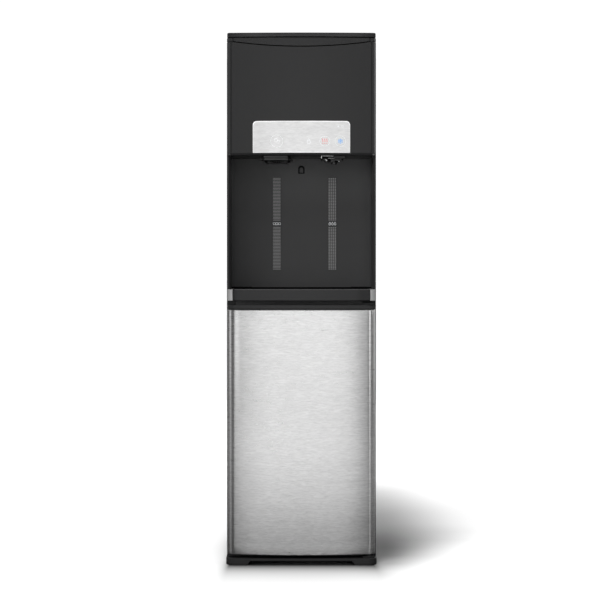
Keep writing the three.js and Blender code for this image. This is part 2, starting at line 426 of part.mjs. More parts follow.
// ---------------------------------------------------------------- cooling and heating
{
  const c = [-75, 85];
  let comp = turned([[0, 566], [56, 566], [62, 574], [64, 586], [64, 620], [65.5, 622], [65.5, 627], [64, 629], [63, 668], [56, 690], [40, 702], [18, 707], [0, 708]], c[0], c[1], 20);
  const hollow = turned([[0, 550], [50, 550], [56, 572], [58, 586], [57, 664], [48, 684], [0, 696]], c[0], c[1], 20);
  comp = union(comp, box(c[0] - 72, c[1] - 52, 563, c[0] + 72, c[1] + 52, 566.5), box(c[0] + 55, c[1] - 22, 596, c[0] + 74, c[1] + 22, 640), bar('z', [c[0] - 30, c[1] - 20], 690, 726, 4, 10));
  for (const sx of [-1, 1]) for (const sy of [-1, 1]) comp = union(comp, bar('z', [c[0] + sx * 62, c[1] + sy * 42], 558.3, 564, 8, 10));
  comp = cut(comp, hollow);
  node(cabinet, 'compressor', comp, 'dark');
  node(cabinet, 'cold_tank', turned([[0, 558.3], [62, 558.3], [62, 576], [60, 578], [60, 786], [52, 800], [14, 806], [14, 818], [0, 818]], 84, 88, 20), 'foam');
  node(cabinet, 'hot_tank', turned([[0, 558.3], [30, 558.3], [30, 590], [38, 592], [38, 720], [34, 730], [10, 738], [10, 752], [0, 752]], 6, -12, 20), 'zinc');
  // condenser: a serpentine tube on two rails that stand off the rear sheet
  const pts = [], r = 24, y = 193.5;
  for (let i = 0; i < 13; i++) {
    const z = 152 + i * 2 * r, s = i % 2 ? -1 : 1;
    pts.push([-s * 108, y, z], [s * 108, y, z]);
    if (i < 12) for (const a of [-55, -18, 18, 55]) pts.push([s * (108 + r * Math.cos(a * Math.PI / 180)), y, z + r + r * Math.sin(a * Math.PI / 180)]);
  }
  let coil = tube(pts, 2.6, 6);
  for (const x of [-96, 96]) coil = union(coil, box(x - 6, 191, 132, x + 6, 199.8, 746));
  for (const x of [-96, 96]) for (const z of [176, 704]) coil = union(coil, box(x - 6, 167.1, z - 8, x + 6, 192, z + 8));
  coil = union(coil, box(-102, 197.8, 132, 102, REAR, 140), box(-102, 197.8, 738, 102, REAR, 746));
  node(cabinet, 'condenser_coil', coil, 'wire');
}

// ---------------------------------------------------------------- ice maker
{
  const X = ICE_X;
  let bin = box(-146, -158, 900, 50, 2, 1046);
  const trough = [[-143, 1050], [-143, 975], [-80, 927], [-74, 912], [-62, 903], [-40, 903], [-28, 912], [-22, 927], [47, 975], [47, 1050]];
  bin = cut(bin, prismY(trough, -155, -1), box(X - 20, -141.5, 890, X + 20, -108.5, 910), bar('y', [X, 926], -2, 5, 6.2, 14));
  // the outside of the bin follows the trough, so nothing is left solid below it
  bin = cut(bin, prismY([[-147, 970], [-84, 923], [-84, 899], [-147, 899]], -160, 4), prismY([[51, 970], [51, 899], [-18, 899], [-18, 923]], -160, 4));
  node(cabinet, 'ice_bin', bin, 'white');
  // auger: a helical flight on its shaft
  const L = 132, seg = 42, turns = 3.5, g = new THREE.BoxGeometry(16.5, 3, L, 1, 1, seg), p = g.attributes.position;
  for (let i = 0; i < p.count; i++) {
    const w = (p.getZ(i) + L / 2) / L, a = w * turns * 2 * Math.PI, rr = 12.5 + p.getX(i);
    p.setXYZ(i, X + rr * Math.cos(a), -150 + w * (L - 4) + p.getY(i) + 4, 926 + rr * Math.sin(a));
  }
  node(works, 'ice_auger', union(toSolid(g), bar('y', [X, 926], -152, 5.5, 5, 12)), 'zinc');
  node(cabinet, 'auger_motor', union(bar('y', [X, 926], 12, 52, 19, 20), box(X - 24, 6, 898, X + 24, 14, 950)), 'dark');
  // evaporator: a header with fingers that dip in the tray
  let ev = union(box(-132, -68, 1030, -12, -40, 1040), box(-150.5, -60, 1033, -131, -48, 1038));
  for (let i = 0; i < 6; i++) for (const y of [-61, -47]) ev = union(ev, bar('z', [-122 + i * 20, y], 1006, 1031, 4.2, 8));
  ev = cut(ev, box(-160, -80, 1000, -142.6, 0, 1060));
  node(cabinet, 'evaporator', ev, 'zinc');
  const t = cut(prismX([[-78, 1024], [-78, 1008], [-70, 999], [-38, 999], [-30, 1008], [-30, 1024]], -136, -8), prismX([[-75.5, 1026], [-75.5, 1009], [-69, 1001.5], [-39, 1001.5], [-32.5, 1009], [-32.5, 1026]], -133.5, -10.5));
  node(works, 'ice_mould_tray', union(t, bar('x', [-29, 1021], -139, -5, 2.4, 10)), 'clear');
  // fan behind the louvres
  const fx = 72, fz = 962;
  let shroud = cut(box(fx - 50, 136, fz - 50, fx + 50, 161, fz + 50), bar('y', [fx, fz], 130, 170, 47, 28));
  shroud = union(shroud, bar('y', [fx, fz], 136.5, 141, 14, 16), box(fx - 48, 137, fz - 2.5, fx + 48, 140.5, fz + 2.5), box(fx - 2.5, 137, fz - 48, fx + 2.5, 140.5, fz + 48));
  node(cabinet, 'fan_shroud', shroud, 'dark');
  let fan = bar('y', [fx, fz], 142, 158, 16, 18);
  for (let i = 0; i < 7; i++) {
    const blade = new THREE.BoxGeometry(17, 1.6, 30).rotateZ(0.6).translate(0, 0, 29).rotateY((i * 2 * Math.PI) / 7).translate(fx, 150, fz);
    fan = union(fan, toSolid(blade));
  }
  node(works, 'fan_rotor', fan, 'black');
}

// ---------------------------------------------------------------- rear fittings
{
  const y0 = BODY_REAR + 2.1;
  node(cabinet, 'switch_bezel', cut(prismY(roundRect(-112, 804, -48, 848, 4, 4, 2), y0, y0 + 3.2), box(-103, 160, 814, -86.6, 180, 838), box(-73.4, 160, 814, -57, 180, 838)), 'black');
  for (const [name, x, mat] of [['hot_switch', -94.8, 'red'], ['cold_switch', -65.2, 'blue']]) {
    const prof = [[-9, -8], [-2, -11.2], [4.6, -10.6], [3.2, 0], [4.6, 10.6], [-2, 11.2], [-9, 8]];
    const a = (6 * Math.PI) / 180, turn = prof.map(([y, z]) => [y0 + y * Math.cos(a) - z * Math.sin(a), 826 + y * Math.sin(a) + z * Math.cos(a)]);
    node(works, name, prismX(turn, x - 7.6, x + 7.6), mat);
  }
  node(works, 'drain_cap', cut(union(bar('y', [-60, 72], y0, 181, 15, 14), bar('y', [-60, 72], 158, y0 + 1, 9, 16)), box(-80, 177, 68, -62.5, 185, 76), box(-57.5, 177, 68, -40, 185, 76)), 'white');
  node(cabinet, 'cord_gland', union(bar('y', [70, 72], 159, y0 + 1, 7.6, 16), bar('y', [70, 72], y0, 171, 13, 6), bar('y', [70, 72], 170, 186, 7.5, 14, 7.5)), 'rubber');
}

export default cooler;
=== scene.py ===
# Looks of a bottom load water cooler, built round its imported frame.
import bpy
import math
import random
from math import pi, sin, cos, radians, sqrt, atan2
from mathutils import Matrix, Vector, geometry


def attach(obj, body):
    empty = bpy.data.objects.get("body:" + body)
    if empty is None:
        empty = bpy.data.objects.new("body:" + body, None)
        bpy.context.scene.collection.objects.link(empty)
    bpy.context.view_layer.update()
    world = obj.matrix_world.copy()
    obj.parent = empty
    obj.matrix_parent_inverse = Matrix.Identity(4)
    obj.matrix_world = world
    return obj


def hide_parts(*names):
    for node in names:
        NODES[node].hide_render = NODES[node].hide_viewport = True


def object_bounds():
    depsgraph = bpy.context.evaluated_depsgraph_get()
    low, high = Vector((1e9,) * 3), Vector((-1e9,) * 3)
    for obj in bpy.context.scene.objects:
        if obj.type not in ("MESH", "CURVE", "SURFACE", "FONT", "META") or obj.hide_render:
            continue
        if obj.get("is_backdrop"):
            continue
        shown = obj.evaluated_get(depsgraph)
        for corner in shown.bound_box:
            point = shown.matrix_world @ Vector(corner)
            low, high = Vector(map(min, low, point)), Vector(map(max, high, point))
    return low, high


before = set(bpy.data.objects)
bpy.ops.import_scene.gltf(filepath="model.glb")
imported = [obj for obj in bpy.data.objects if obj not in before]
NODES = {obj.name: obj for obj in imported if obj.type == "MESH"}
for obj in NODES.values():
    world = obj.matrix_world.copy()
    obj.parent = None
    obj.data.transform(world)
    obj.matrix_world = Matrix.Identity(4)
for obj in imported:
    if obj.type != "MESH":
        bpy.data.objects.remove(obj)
CAD_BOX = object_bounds()
COLL = bpy.context.scene.collection
random.seed(7)

# ------------------------------------------------------------------ dimensions, mm
FRONT, CROWN_R = -200.0, 800.0
HALF_DOOR = 155.6
Z_HEAD, Z_PLATE, Z_PLATE1, Z_CAP = 852.0, 857.3, 923.3, 1096.4
SMILE_END, SMILE_MID, SMILE_HALF = 1088.4, 1077.4, 143.2
SKIN0, SKIN1 = 20.4, 531.5
ICE_X, NOZZLE_X = -51.0, 64.5


def crown_y(x, front=FRONT, r=CROWN_R):
    return front + r - sqrt(r * r - x * x)


def crown_slope(x, r=CROWN_R):
    return x / sqrt(r * r - x * x)


def smile(x):
    r = (SMILE_HALF ** 2 + (SMILE_END - SMILE_MID) ** 2) / (2 * (SMILE_END - SMILE_MID))
    return SMILE_MID + r - sqrt(r * r - x * x)


def front_line(half, front, r, rc, n_crown=60, n_corner=10, xs=()):
    """The crowned front seen from above, from the left side round to the right."""
    cy, ccx = front + r, half - rc
    ccy = cy - sqrt((r - rc) ** 2 - ccx ** 2)
    at = atan2(ccy - cy, ccx)
    right = [(ccx + rc * cos(at * (1 - i / n_corner)), ccy + rc * sin(at * (1 - i / n_corner))) for i in range(n_corner + 1)]
    xt = right[0][0]
    mid = sorted(set([round(-xt + 2 * xt * i / n_crown, 4) for i in range(1, n_crown)] + [x for x in xs if abs(x) < xt]))
    return [(-x, y) for x, y in reversed(right)] + [(x, cy - sqrt(r * r - x * x)) for x in mid] + right


# ------------------------------------------------------------------ materials
class Tree:
    """A small helper that wires one material's nodes."""

    def __init__(self, name):
        self.mat = bpy.data.materials.new(name)
        self.mat.use_nodes = True
        self.t = self.mat.node_tree
        self.b = self.t.nodes["Principled BSDF"]
        self.coord = None

    def node(self, kind, **vals):
        n = self.t.nodes.new(kind)
        for k, v in vals.items():
            if hasattr(n, k):
                setattr(n, k, v)
            else:
                n.inputs[k].default_value = v
        return n

    def link(self, a, b):
        self.t.links.new(a, b)

    def at(self, scale=(1, 1, 1), rot=(0, 0, 0), loc=(0, 0, 0)):
        if self.coord is None:
            self.coord = self.node("ShaderNodeTexCoord")
        m = self.node("ShaderNodeMapping")
        m.inputs["Scale"].default_value = scale
        m.inputs["Rotation"].default_value = rot
        m.inputs["Location"].default_value = loc
        self.link(self.coord.outputs["Object"], m.inputs["Vector"])
        return m.outputs["Vector"]

    def noise(self, vector, scale, detail=3.0, rough=0.55, distortion=0.0):
        n = self.node("ShaderNodeTexNoise")
        n.inputs["Scale"].default_value = scale
        n.inputs["Detail"].default_value = detail
        n.inputs["Roughness"].default_value = rough
        n.inputs["Distortion"].default_value = distortion
        self.link(vector, n.inputs["Vector"])
        return n.outputs["Fac"]

    def math(self, op, a, b=None, c=None):
        n = self.node("ShaderNodeMath")
        n.operation = op
        for i, v in enumerate((a, b, c)):
            if v is None:
                continue
            if isinstance(v, (int, float)):
                n.inputs[i].default_value = v
            else:
                self.link(v, n.inputs[i])
        return n.outputs[0]

    def span(self, fac, lo, hi, a=0.0, b=1.0):
        n = self.node("ShaderNodeMapRange")
        n.inputs["From Min"].default_value = lo
        n.inputs["From Max"].default_value = hi
        n.inputs["To Min"].default_value = a
        n.inputs["To Max"].default_value = b
        self.link(fac, n.inputs["Value"])
        return n.outputs["Result"]

    def ramp(self, fac, stops):
        n = self.node("ShaderNodeValToRGB")
        e = n.color_ramp.elements
        while len(e) < len(stops):
            e.new(0.5)
        for el, (p, c) in zip(e, stops):
            el.position = p
            el.color = (c[0], c[1], c[2], 1)
        self.link(fac, n.inputs["Fac"])
        return n.outputs["Color"]

    def bump(self, height, strength, dist, under=None):
        n = self.node("ShaderNodeBump")
        n.inputs["Strength"].default_value = strength
        n.inputs["Distance"].default_value = dist
        self.link(height, n.inputs["Height"])
        if under is not None:
            self.link(under, n.inputs["Normal"])
        return n.outputs["Normal"]

    def set(self, **vals):
        for k, v in vals.items():
            key = k.replace("_", " ")
            if hasattr(v, "is_linked") or hasattr(v, "links"):
                self.link(v, self.b.inputs[key])
            else:
                self.b.inputs[key].default_value = v
        return self


def lin(v):
    v = v / 255.0
    return v / 12.92 if v <= 0.04045 else ((v + 0.055) / 1.055) ** 2.4


def rgb(r, g=None, b=None):
    g = r if g is None else g
    b = r if b is None else b
    return (lin(r), lin(g), lin(b), 1.0)


def tint(c, k):
    return (c[0] * k, c[1] * k, c[2] * k, 1)


def moulded(name, colour, rough, grain=1500.0, depth=0.00005, mottle=0.12, spec=0.5, wear=0.10):
    """Moulded plastic: fine spark grain, a slow change of sheen, a little lighter along worn edges."""
    t = Tree(name)
    v = t.at()
    slow = t.noise(v, 7.0, 3.0)
    fine = t.noise(v, grain, 2.0)
    mid = t.noise(v, 60.0, 4.0)
    geo = t.node("ShaderNodeNewGeometry")
    edge = t.span(geo.outputs["Pointiness"], 0.53, 0.60, 0.0, wear)
    base = t.ramp(t.math("ADD", t.math("MULTIPLY", t.math("ADD", slow, mid), 0.42), edge), [(0.25, tint(colour, 1 - mottle)), (0.62, tint(colour, 1 + mottle)), (1.0, tint(colour, 1 + mottle * 3))])
    t.set(Base_Color=base, Roughness=t.span(t.math("ADD", t.math("MULTIPLY", slow, 0.5), t.math("MULTIPLY", fine, 0.5)), 0.3, 0.7, rough - 0.05, rough + 0.06))
    t.b.inputs["Specular IOR Level"].default_value = spec
    t.set(Normal=t.bump(fine, 0.35, depth))
    return t.mat


def trim_metal(name, colour, rough):
    """Brushed trim whose outer edge, where it folds round the side, is darkened and dulled as painted shade."""
    t = Tree(name)
    v = t.at()
    hair = t.noise(t.at((60, 60, 900)), 1.0, 4.0, 0.6)
    sep = t.node("ShaderNodeSeparateXYZ")
    t.link(v, sep.inputs[0])
    # painted shade: the outer edge, where it turns away, goes dark and non-metallic
    k = t.span(t.math("ABSOLUTE", sep.outputs[0]), 0.1532, 0.1544, 1.0, 0.0)
    t.set(Base_Color=t.ramp(t.math("ADD", t.math("MULTIPLY", k, 0.8), t.math("MULTIPLY", hair, 0.2)), [(0.0, rgb(20)), (0.2, rgb(30)), (0.82, tint(colour, 0.94)), (0.98, tint(colour, 1.06))]),
          Metallic=t.span(k, 0.0, 1.0, 0.0, 0.75), Roughness=t.span(hair, 0.3, 0.7, rough - 0.05, rough + 0.05), Normal=t.bump(hair, 0.3, 0.00005))
    return t.mat


def tray_plastic(name, colour, dark, rough):
    """Satin plastic that falls off into shade where the tray's front turns in at its ends."""
    t = Tree(name)
    v = t.at()
    slow, fine = t.noise(v, 7.0, 3.0), t.noise(v, 2200.0, 2.0)
    sep = t.node("ShaderNodeSeparateXYZ")
    t.link(v, sep.inputs[0])
    k = t.math("MULTIPLY", t.span(sep.outputs[0], 0.114, 0.124, 1.0, 0.45), t.span(sep.outputs[0], -0.143, -0.132, 0.15, 1.0))
    t.set(Base_Color=t.ramp(t.math("ADD", t.math("MULTIPLY", k, 0.9), t.math("MULTIPLY", slow, 0.1)), [(0.0, dark), (0.92, colour), (1.0, tint(colour, 1.05))]),
          Roughness=t.span(fine, 0.3, 0.7, rough - 0.05, rough + 0.06), Normal=t.bump(fine, 0.35, 0.00003))
    t.b.inputs["Specular IOR Level"].default_value = 0.28
    return t.mat


def alcove_wall(name, inner, rim, rough):
    """The same grained plastic, its front rim as dark as the head's and its inside made lighter as painted light;
    painted shade darkens the left corner, it is darker low down, a painted light lifts the top where the head's shadow
    falls, and the rim's turn has less specular.
    """
    t = Tree(name)
    v = t.at()
    slow, fine = t.noise(v, 7.0, 3.0), t.noise(v, 1400.0, 2.0)
    sep = t.node("ShaderNodeSeparateXYZ")
    t.link(v, sep.inputs[0])
    # painted shade in the left corner, where the side wall shades the back wall
    corner = t.math("MAXIMUM", t.span(sep.outputs[0], -0.120, -0.035, 0.52, 1.0), t.span(sep.outputs[0], -0.148, -0.145, 1.0, 0.52))
    k = t.math("MULTIPLY", t.span(sep.outputs[1], -0.158, -0.146, 0.0, 1.0), t.math("MULTIPLY", corner, t.span(sep.outputs[2], 0.665, 0.742, 0.74, 1.0)))
    turn = t.span(t.math("ABSOLUTE", sep.outputs[0]), 0.1526, 0.1546, 0.3, 0.02)
    # painted light near the top, where the head casts its shadow
    high = t.math("MULTIPLY", t.span(sep.outputs[2], 0.745, 0.845, 0.0, 0.3), k)
    t.set(Base_Color=t.ramp(t.math("ADD", high, t.math("ADD", t.math("MULTIPLY", k, 0.63), t.math("MULTIPLY", slow, 0.07))), [(0.0, tint(rim, 0.95)), (0.084, rim), (0.63, inner), (0.70, tint(inner, 1.06)), (1.0, tint(inner, 1.75))]),
          Roughness=t.span(fine, 0.3, 0.7, rough - 0.04, rough + 0.05), Normal=t.bump(fine, 0.35, 0.00005))
    t.link(turn, t.b.inputs["Specular IOR Level"])
    return t.mat


def head_plastic(name, colour, rough):
    """The head's satin plastic, with painted highlights: a sheen down its rounded sides, strongest on the right, and
    glints on its lower mitred corners.
    """
    t = Tree(name)
    v = t.at()
    slow, fine = t.noise(v, 7.0, 3.0), t.noise(v, 2200.0, 2.0)
    sep = t.node("ShaderNodeSeparateXYZ")
    t.link(v, sep.inputs[0])
    x, z = sep.outputs[0], sep.outputs[2]

    def band(q, a, b, c, d):
        return t.math("MULTIPLY", t.span(q, a, b, 0.0, 1.0), t.span(q, c, d, 1.0, 0.0))

    # painted highlight masks: sheen bands down the sides and glints at the lower corners
    low = band(z, 0.8520, 0.8530, 0.8560, 0.8568)
    right = t.math("MULTIPLY", band(x, 0.1506, 0.1516, 0.1532, 0.1544), 0.52)
    left = t.math("MULTIPLY", band(x, -0.1536, -0.1524, -0.1498, -0.1486), 0.11)
    corner = t.math("ADD", band(x, 0.1474, 0.1490, 0.1530, 0.1542), t.math("MULTIPLY", band(x, -0.1535, -0.1525, -0.1482, -0.1470), 0.3))
    k = t.math("MAXIMUM", t.math("MAXIMUM", right, left), t.math("MULTIPLY", low, corner))
    t.set(Base_Color=t.ramp(t.math("ADD", t.math("MULTIPLY", k, 0.9), t.math("MULTIPLY", slow, 0.1)), [(0.0, tint(colour, 0.95)), (0.1, tint(colour, 1.05)), (1.0, tint(colour, 10.0))]),
          Roughness=t.span(t.math("ADD", t.math("MULTIPLY", slow, 0.5), t.math("MULTIPLY", fine, 0.5)), 0.3, 0.7, rough - 0.05, rough + 0.06), Normal=t.bump(fine, 0.35, 0.00003))
    t.b.inputs["Specular IOR Level"].default_value = 0.28
    return t.mat


def sheet_paint(name, colour, rough, spec=0.5, painted_fold_shade=False):
    """Powder coated steel sheet: orange peel, with a faint ripple of the flat panel."""
    t = Tree(name)
    v = t.at()
    peel = t.noise(v, 420.0, 2.0, 0.5)
    wave = t.noise(t.at((1, 1, 0.35)), 6.0, 2.0, 0.4)
    dust = t.noise(v, 90.0, 6.0, 0.7)
    t.set(Base_Color=t.ramp(t.math("ADD", t.math("MULTIPLY", wave, 0.6), t.math("MULTIPLY", dust, 0.4)), [(0.3, tint(colour, 0.9)), (0.7, tint(colour, 1.12))]),
          Roughness=t.span(dust, 0.3, 0.7, rough - 0.05, rough + 0.08),
          Normal=t.bump(peel, 0.22, 0.00012, t.bump(wave, 0.25, 0.0012)))
    t.b.inputs["Specular IOR Level"].default_value = spec
    if painted_fold_shade:  # painted shade: the folded front edge is made darker and less specular
        sep = t.node("ShaderNodeSeparateXYZ")
        t.link(v, sep.inputs[0])
        t.link(t.span(sep.outputs[1], -0.1630, -0.1600, 0.15, spec), t.b.inputs["Specular IOR Level"])
        k = t.span(sep.outputs[1], -0.1630, -0.1600, 0.0, 0.5)
        t.set(Base_Color=t.ramp(t.math("ADD", k, t.math("MULTIPLY", t.math("ADD", wave, dust), 0.25)), [(0.0, tint(colour, 0.6)), (0.25, tint(colour, 0.65)), (0.62, tint(colour, 0.9)), (0.85, tint(colour, 1.12))]))
    return t.mat


def painted_reflection_gain(t):
    """A painted reflection on the door's skin, as a gain on its colour: darker at its upper left, brighter low and
    right, with painted highlight and shade stripes down its rounded corners and a painted highlight along its bottom
    edge.
    """
    sep = t.node("ShaderNodeSeparateXYZ")
    t.link(t.at(), sep.inputs[0])
    x, z = sep.outputs[0], sep.outputs[2]

    def soft(q, lo, hi, a=0.0, b=1.0):
        r = t.span(q, lo, hi, a, b)
        r.node.interpolation_type = "SMOOTHSTEP"
        return r

    def band(q, a, b, c, d):
        return t.math("MULTIPLY", soft(q, a, b), soft(q, c, d, 1.0, 0.0))

    def scaled(*parts):
        return parts[0] if len(parts) == 1 else t.math("MULTIPLY", parts[0], scaled(*parts[1:]))

    mid = band(z, 0.075, 0.165, 0.225, 0.345)
    terms = [scaled(soft(x, -0.130, -0.052, -0.15, 0.0), soft(z, 0.235, 0.345)),
             scaled(mid, soft(x, -0.115, -0.060, 0.0, 0.085)),
             scaled(mid, soft(x, 0.085, 0.120, 0.0, 0.10)),
             scaled(band(x, 0.1400, 0.1412, 0.1452, 0.1462), soft(z, 0.26, 0.50, 0.0, 0.40)),
             scaled(band(x, 0.1466, 0.1472, 0.1482, 0.1490), soft(z, 0.10, 0.40, -0.12, -0.42)),
             scaled(band(x, 0.1496, 0.1506, 0.1522, 0.1534), soft(z, 0.26, 0.50, 0.0, 0.80)),
             scaled(band(x, -0.1516, -0.1506, -0.1478, -0.1468), soft(z, 0.26, 0.50, -0.05, 0.42)),
             scaled(band(x, -0.1400, -0.1372, -0.1352, -0.1250), soft(z, 0.24, 0.46, 0.0, 0.33)),
             soft(z, 0.028, 0.050, 0.22, 0.0)]
    total = t.math("ADD", terms[0], 1.0)
    for k in terms[1:]:
        total = t.math("ADD", total, k)
    return total


def brushed(name, colour, rough, along=(1, 1, 1), spread=0.05, relief=0.3, metal=1.0, waves=0.045, aniso=0.0, gain=None):
    """Brushed steel. along holds the noise scales: small along the grain, large across it."""
    t = Tree(name)
    hair = t.noise(t.at((along[0] * 9, along[1] * 9, along[2] * 2600)), 1.0, 4.0, 0.7)
    streak = t.noise(t.at((along[0] * 70, along[1] * 70, along[2] * 430), rot=(0, 0.05, 0)), 1.0, 3.0, 0.6, 0.7)
    wavy = t.noise(t.at((along[0] * 38, along[1] * 38, along[2] * 170), rot=(0, -0.10, 0)), 1.0, 3.0, 0.6, 1.2)
    broad = t.noise(t.at((3.0, 3.0, 2.2)), 1.0, 2.0, 0.5)
    mix = t.math("ADD", t.math("MULTIPLY", hair, 0.15), t.math("ADD", t.math("MULTIPLY", streak, 0.50), t.math("MULTIPLY", wavy, 0.35)))
    t.set(Base_Color=t.ramp(mix, [(0.36, tint(colour, 1 - waves)), (0.5, tint(colour, 1.0)), (0.64, tint(colour, 1 + waves))]),
          Metallic=metal,
          Roughness=t.span(t.math("ADD", t.math("MULTIPLY", mix, 0.7), t.math("MULTIPLY", broad, 0.3)), 0.35, 0.65, rough - spread, rough + spread),
          Normal=t.bump(mix, relief, 0.00006))
    # gain scales the colour by a painted reflection map
    if gain is not None:
        n = t.node("ShaderNodeVectorMath", operation="SCALE")
        t.link(t.b.inputs["Base Color"].links[0].from_socket, n.inputs[0])
        t.link(gain(t), n.inputs["Scale"])
        t.link(n.outputs[0], t.b.inputs["Base Color"])
    if aniso:
        t.b.inputs["Anisotropic"].default_value = aniso
        t.b.inputs["Anisotropic Rotation"].default_value = 0.25
        tan = t.node("ShaderNodeTangent")
        tan.direction_type = "RADIAL"
        tan.axis = "Z"
        t.link(tan.outputs["Tangent"], t.b.inputs["Tangent"])
    return t.mat


def foil(name, colour, rough, metal=1.0):
    """Thin brushed facing: short uneven strokes, lighter and darker, nearly level."""
    t = Tree(name)
    hair = t.noise(t.at((30, 30, 2400)), 1.0, 3.0, 0.7)
    short = t.noise(t.at((105, 105, 500), rot=(0, 0.07, 0)), 1.0, 3.0, 0.6, 0.7)
    patchy = t.noise(t.at((40, 40, 130), rot=(0, -0.12, 0)), 1.0, 2.0, 0.55, 1.0)
    mix = t.math("ADD", t.math("MULTIPLY", hair, 0.15), t.math("ADD", t.math("MULTIPLY", short, 0.5), t.math("MULTIPLY", patchy, 0.35)))
    sep = t.node("ShaderNodeSeparateXYZ")
    t.link(t.coord.outputs["Object"] if getattr(t, "coord", None) else t.at(), sep.inputs[0])
    bow = t.math("MULTIPLY", t.math("MULTIPLY", sep.outputs[0], sep.outputs[0]), 14.0)
    mix2 = t.math("ADD", mix, bow)
    t.set(Base_Color=t.ramp(mix2, [(0.36, tint(colour, 0.90)), (0.5, tint(colour, 0.985)), (0.66, tint(colour, 1.09)), (0.80, tint(colour, 1.16))]), Metallic=metal,
          Roughness=t.span(mix, 0.35, 0.65, rough + 0.05, rough - 0.06), Normal=t.bump(mix, 0.4, 0.00006))
    return t.mat


def cast_metal(name, colour, rough, grain=140.0, spangle=0.0, metal=1.0):
    """Bare or plated sheet: spangle for hot dip zinc, small grain for the rest."""
    t = Tree(name)
    v = t.at()
    grainy = t.noise(v, grain, 4.0)
    if spangle:
        vo = t.node("ShaderNodeTexVoronoi")
        vo.inputs["Scale"].default_value = spangle
        t.link(v, vo.inputs["Vector"])
        cell = t.math("MULTIPLY", vo.outputs["Color"], 1.0)
        tone = t.math("ADD", t.math("MULTIPLY", cell, 0.6), t.math("MULTIPLY", grainy, 0.4))
    else:
        tone = grainy
    t.set(Base_Color=t.ramp(tone, [(0.2, tint(colour, 0.82)), (0.8, tint(colour, 1.1))]), Metallic=metal,
          Roughness=t.span(tone, 0.2, 0.8, rough - 0.06, rough + 0.08), Normal=t.bump(grainy, 0.12, 0.0001))
    return t.mat


def rubbery(name, colour, rough=0.8):
    t = Tree(name)
    v = t.at()
    fine = t.noise(v, 900.0, 3.0)
    bloom = t.noise(v, 35.0, 5.0, 0.7)
    t.set(Base_Color=t.ramp(bloom, [(0.3, tint(colour, 0.85)), (0.75, tint(colour, 1.35))]), Roughness=t.span(bloom, 0.3, 0.7, rough - 0.1, min(1, rough + 0.1)), Normal=t.bump(fine, 0.3, 0.00008))
    t.b.inputs["Specular IOR Level"].default_value = 0.3
    return t.mat


def glossy(name, colour, rough=0.12, coat=0.6):
    t = Tree(name)
    v = t.at()
    haze = t.noise(v, 30.0, 4.0)
    t.set(Base_Color=t.ramp(haze, [(0.3, tint(colour, 0.9)), (0.7, tint(colour, 1.1))]), Roughness=t.span(haze, 0.3, 0.7, rough * 0.7, rough * 1.5), Normal=t.bump(t.noise(v, 55.0, 2.0), 0.05, 0.0003))
    t.b.inputs["Coat Weight"].default_value = coat
    t.b.inputs["Coat Roughness"].default_value = 0.06
    return t.mat


def foam(name, colour):
    t = Tree(name)
    v = t.at()
    vo = t.node("ShaderNodeTexVoronoi")
    vo.inputs["Scale"].default_value = 420.0
    t.link(v, vo.inputs["Vector"])
    pits = vo.outputs["Distance"]
    skin = t.noise(v, 28.0, 5.0, 0.65)
    t.set(Base_Color=t.ramp(skin, [(0.3, tint(colour, 0.8)), (0.7, tint(colour, 1.1))]), Roughness=0.92, Normal=t.bump(pits, 0.5, 0.0006, t.bump(skin, 0.4, 0.002)))
    return t.mat


def clearish(name, colour, rough=0.12, trans=0.75):
    t = Tree(name)
    v = t.at()
    haze = t.noise(v, 40.0, 4.0)
    t.set(Base_Color=t.ramp(haze, [(0.3, tint(colour, 0.93)), (0.7, tint(colour, 1.0))]), Roughness=t.span(haze, 0.3, 0.7, rough, rough + 0.1))
    t.b.inputs["Transmission Weight"].default_value = trans
    t.b.inputs["IOR"].default_value = 1.45
    return t.mat


def printed(name, colour, rough=0.5, painted_glow=0.0):
    """Screen printing ink, which can be given a faint glow of its own as painted light."""
    t = Tree(name)
    v = t.at()
    n = t.noise(v, 700.0, 3.0)
    t.set(Base_Color=t.ramp(n, [(0.3, tint(colour, 0.94)), (0.7, colour)]), Roughness=t.span(n, 0.3, 0.7, rough - 0.05, rough + 0.08), Normal=t.bump(n, 0.1, 0.00004))
    # painted light: a faint glow on the ink, which is no lamp
    if painted_glow:
        t.b.inputs["Emission Color"].default_value = colour
        t.b.inputs["Emission Strength"].default_value = painted_glow
    return t.mat


def print_darker_low(name, colour, rough):
    """A grey print, darker towards the tray."""
    t = Tree(name)
    v = t.at()
    sep = t.node("ShaderNodeSeparateXYZ")
    t.link(v, sep.inputs[0])
    k = t.math("ADD", t.math("MULTIPLY", t.span(sep.outputs[2], 0.610, 0.760, 0.0, 1.0), 0.9), t.math("MULTIPLY", t.noise(v, 300.0, 2.0), 0.1))
    t.set(Base_Color=t.ramp(k, [(0.05, tint(colour, 0.70)), (0.95, colour)]), Roughness=rough)
    return t.mat


def circuit(name):
    """Solder mask over copper traces."""
    t = Tree(name)
    v = t.at((1, 1, 1))
    br = t.node("ShaderNodeTexBrick")
    br.inputs["Scale"].default_value = 120.0
    br.inputs["Mortar Size"].default_value = 0.035
    br.inputs["Color1"].default_value = rgb(20, 84, 48)
    br.inputs["Color2"].default_value = rgb(26, 98, 55)
    br.inputs["Mortar"].default_value = rgb(60, 140, 84)
    m = t.at((1, 1, 1), rot=(pi / 2, 0, 0))
    t.link(m, br.inputs["Vector"])
    t.link(br.outputs["Color"], t.b.inputs["Base Color"])
    t.set(Roughness=0.35, Normal=t.bump(br.outputs["Fac"], 0.4, 0.0002))
    return t.mat


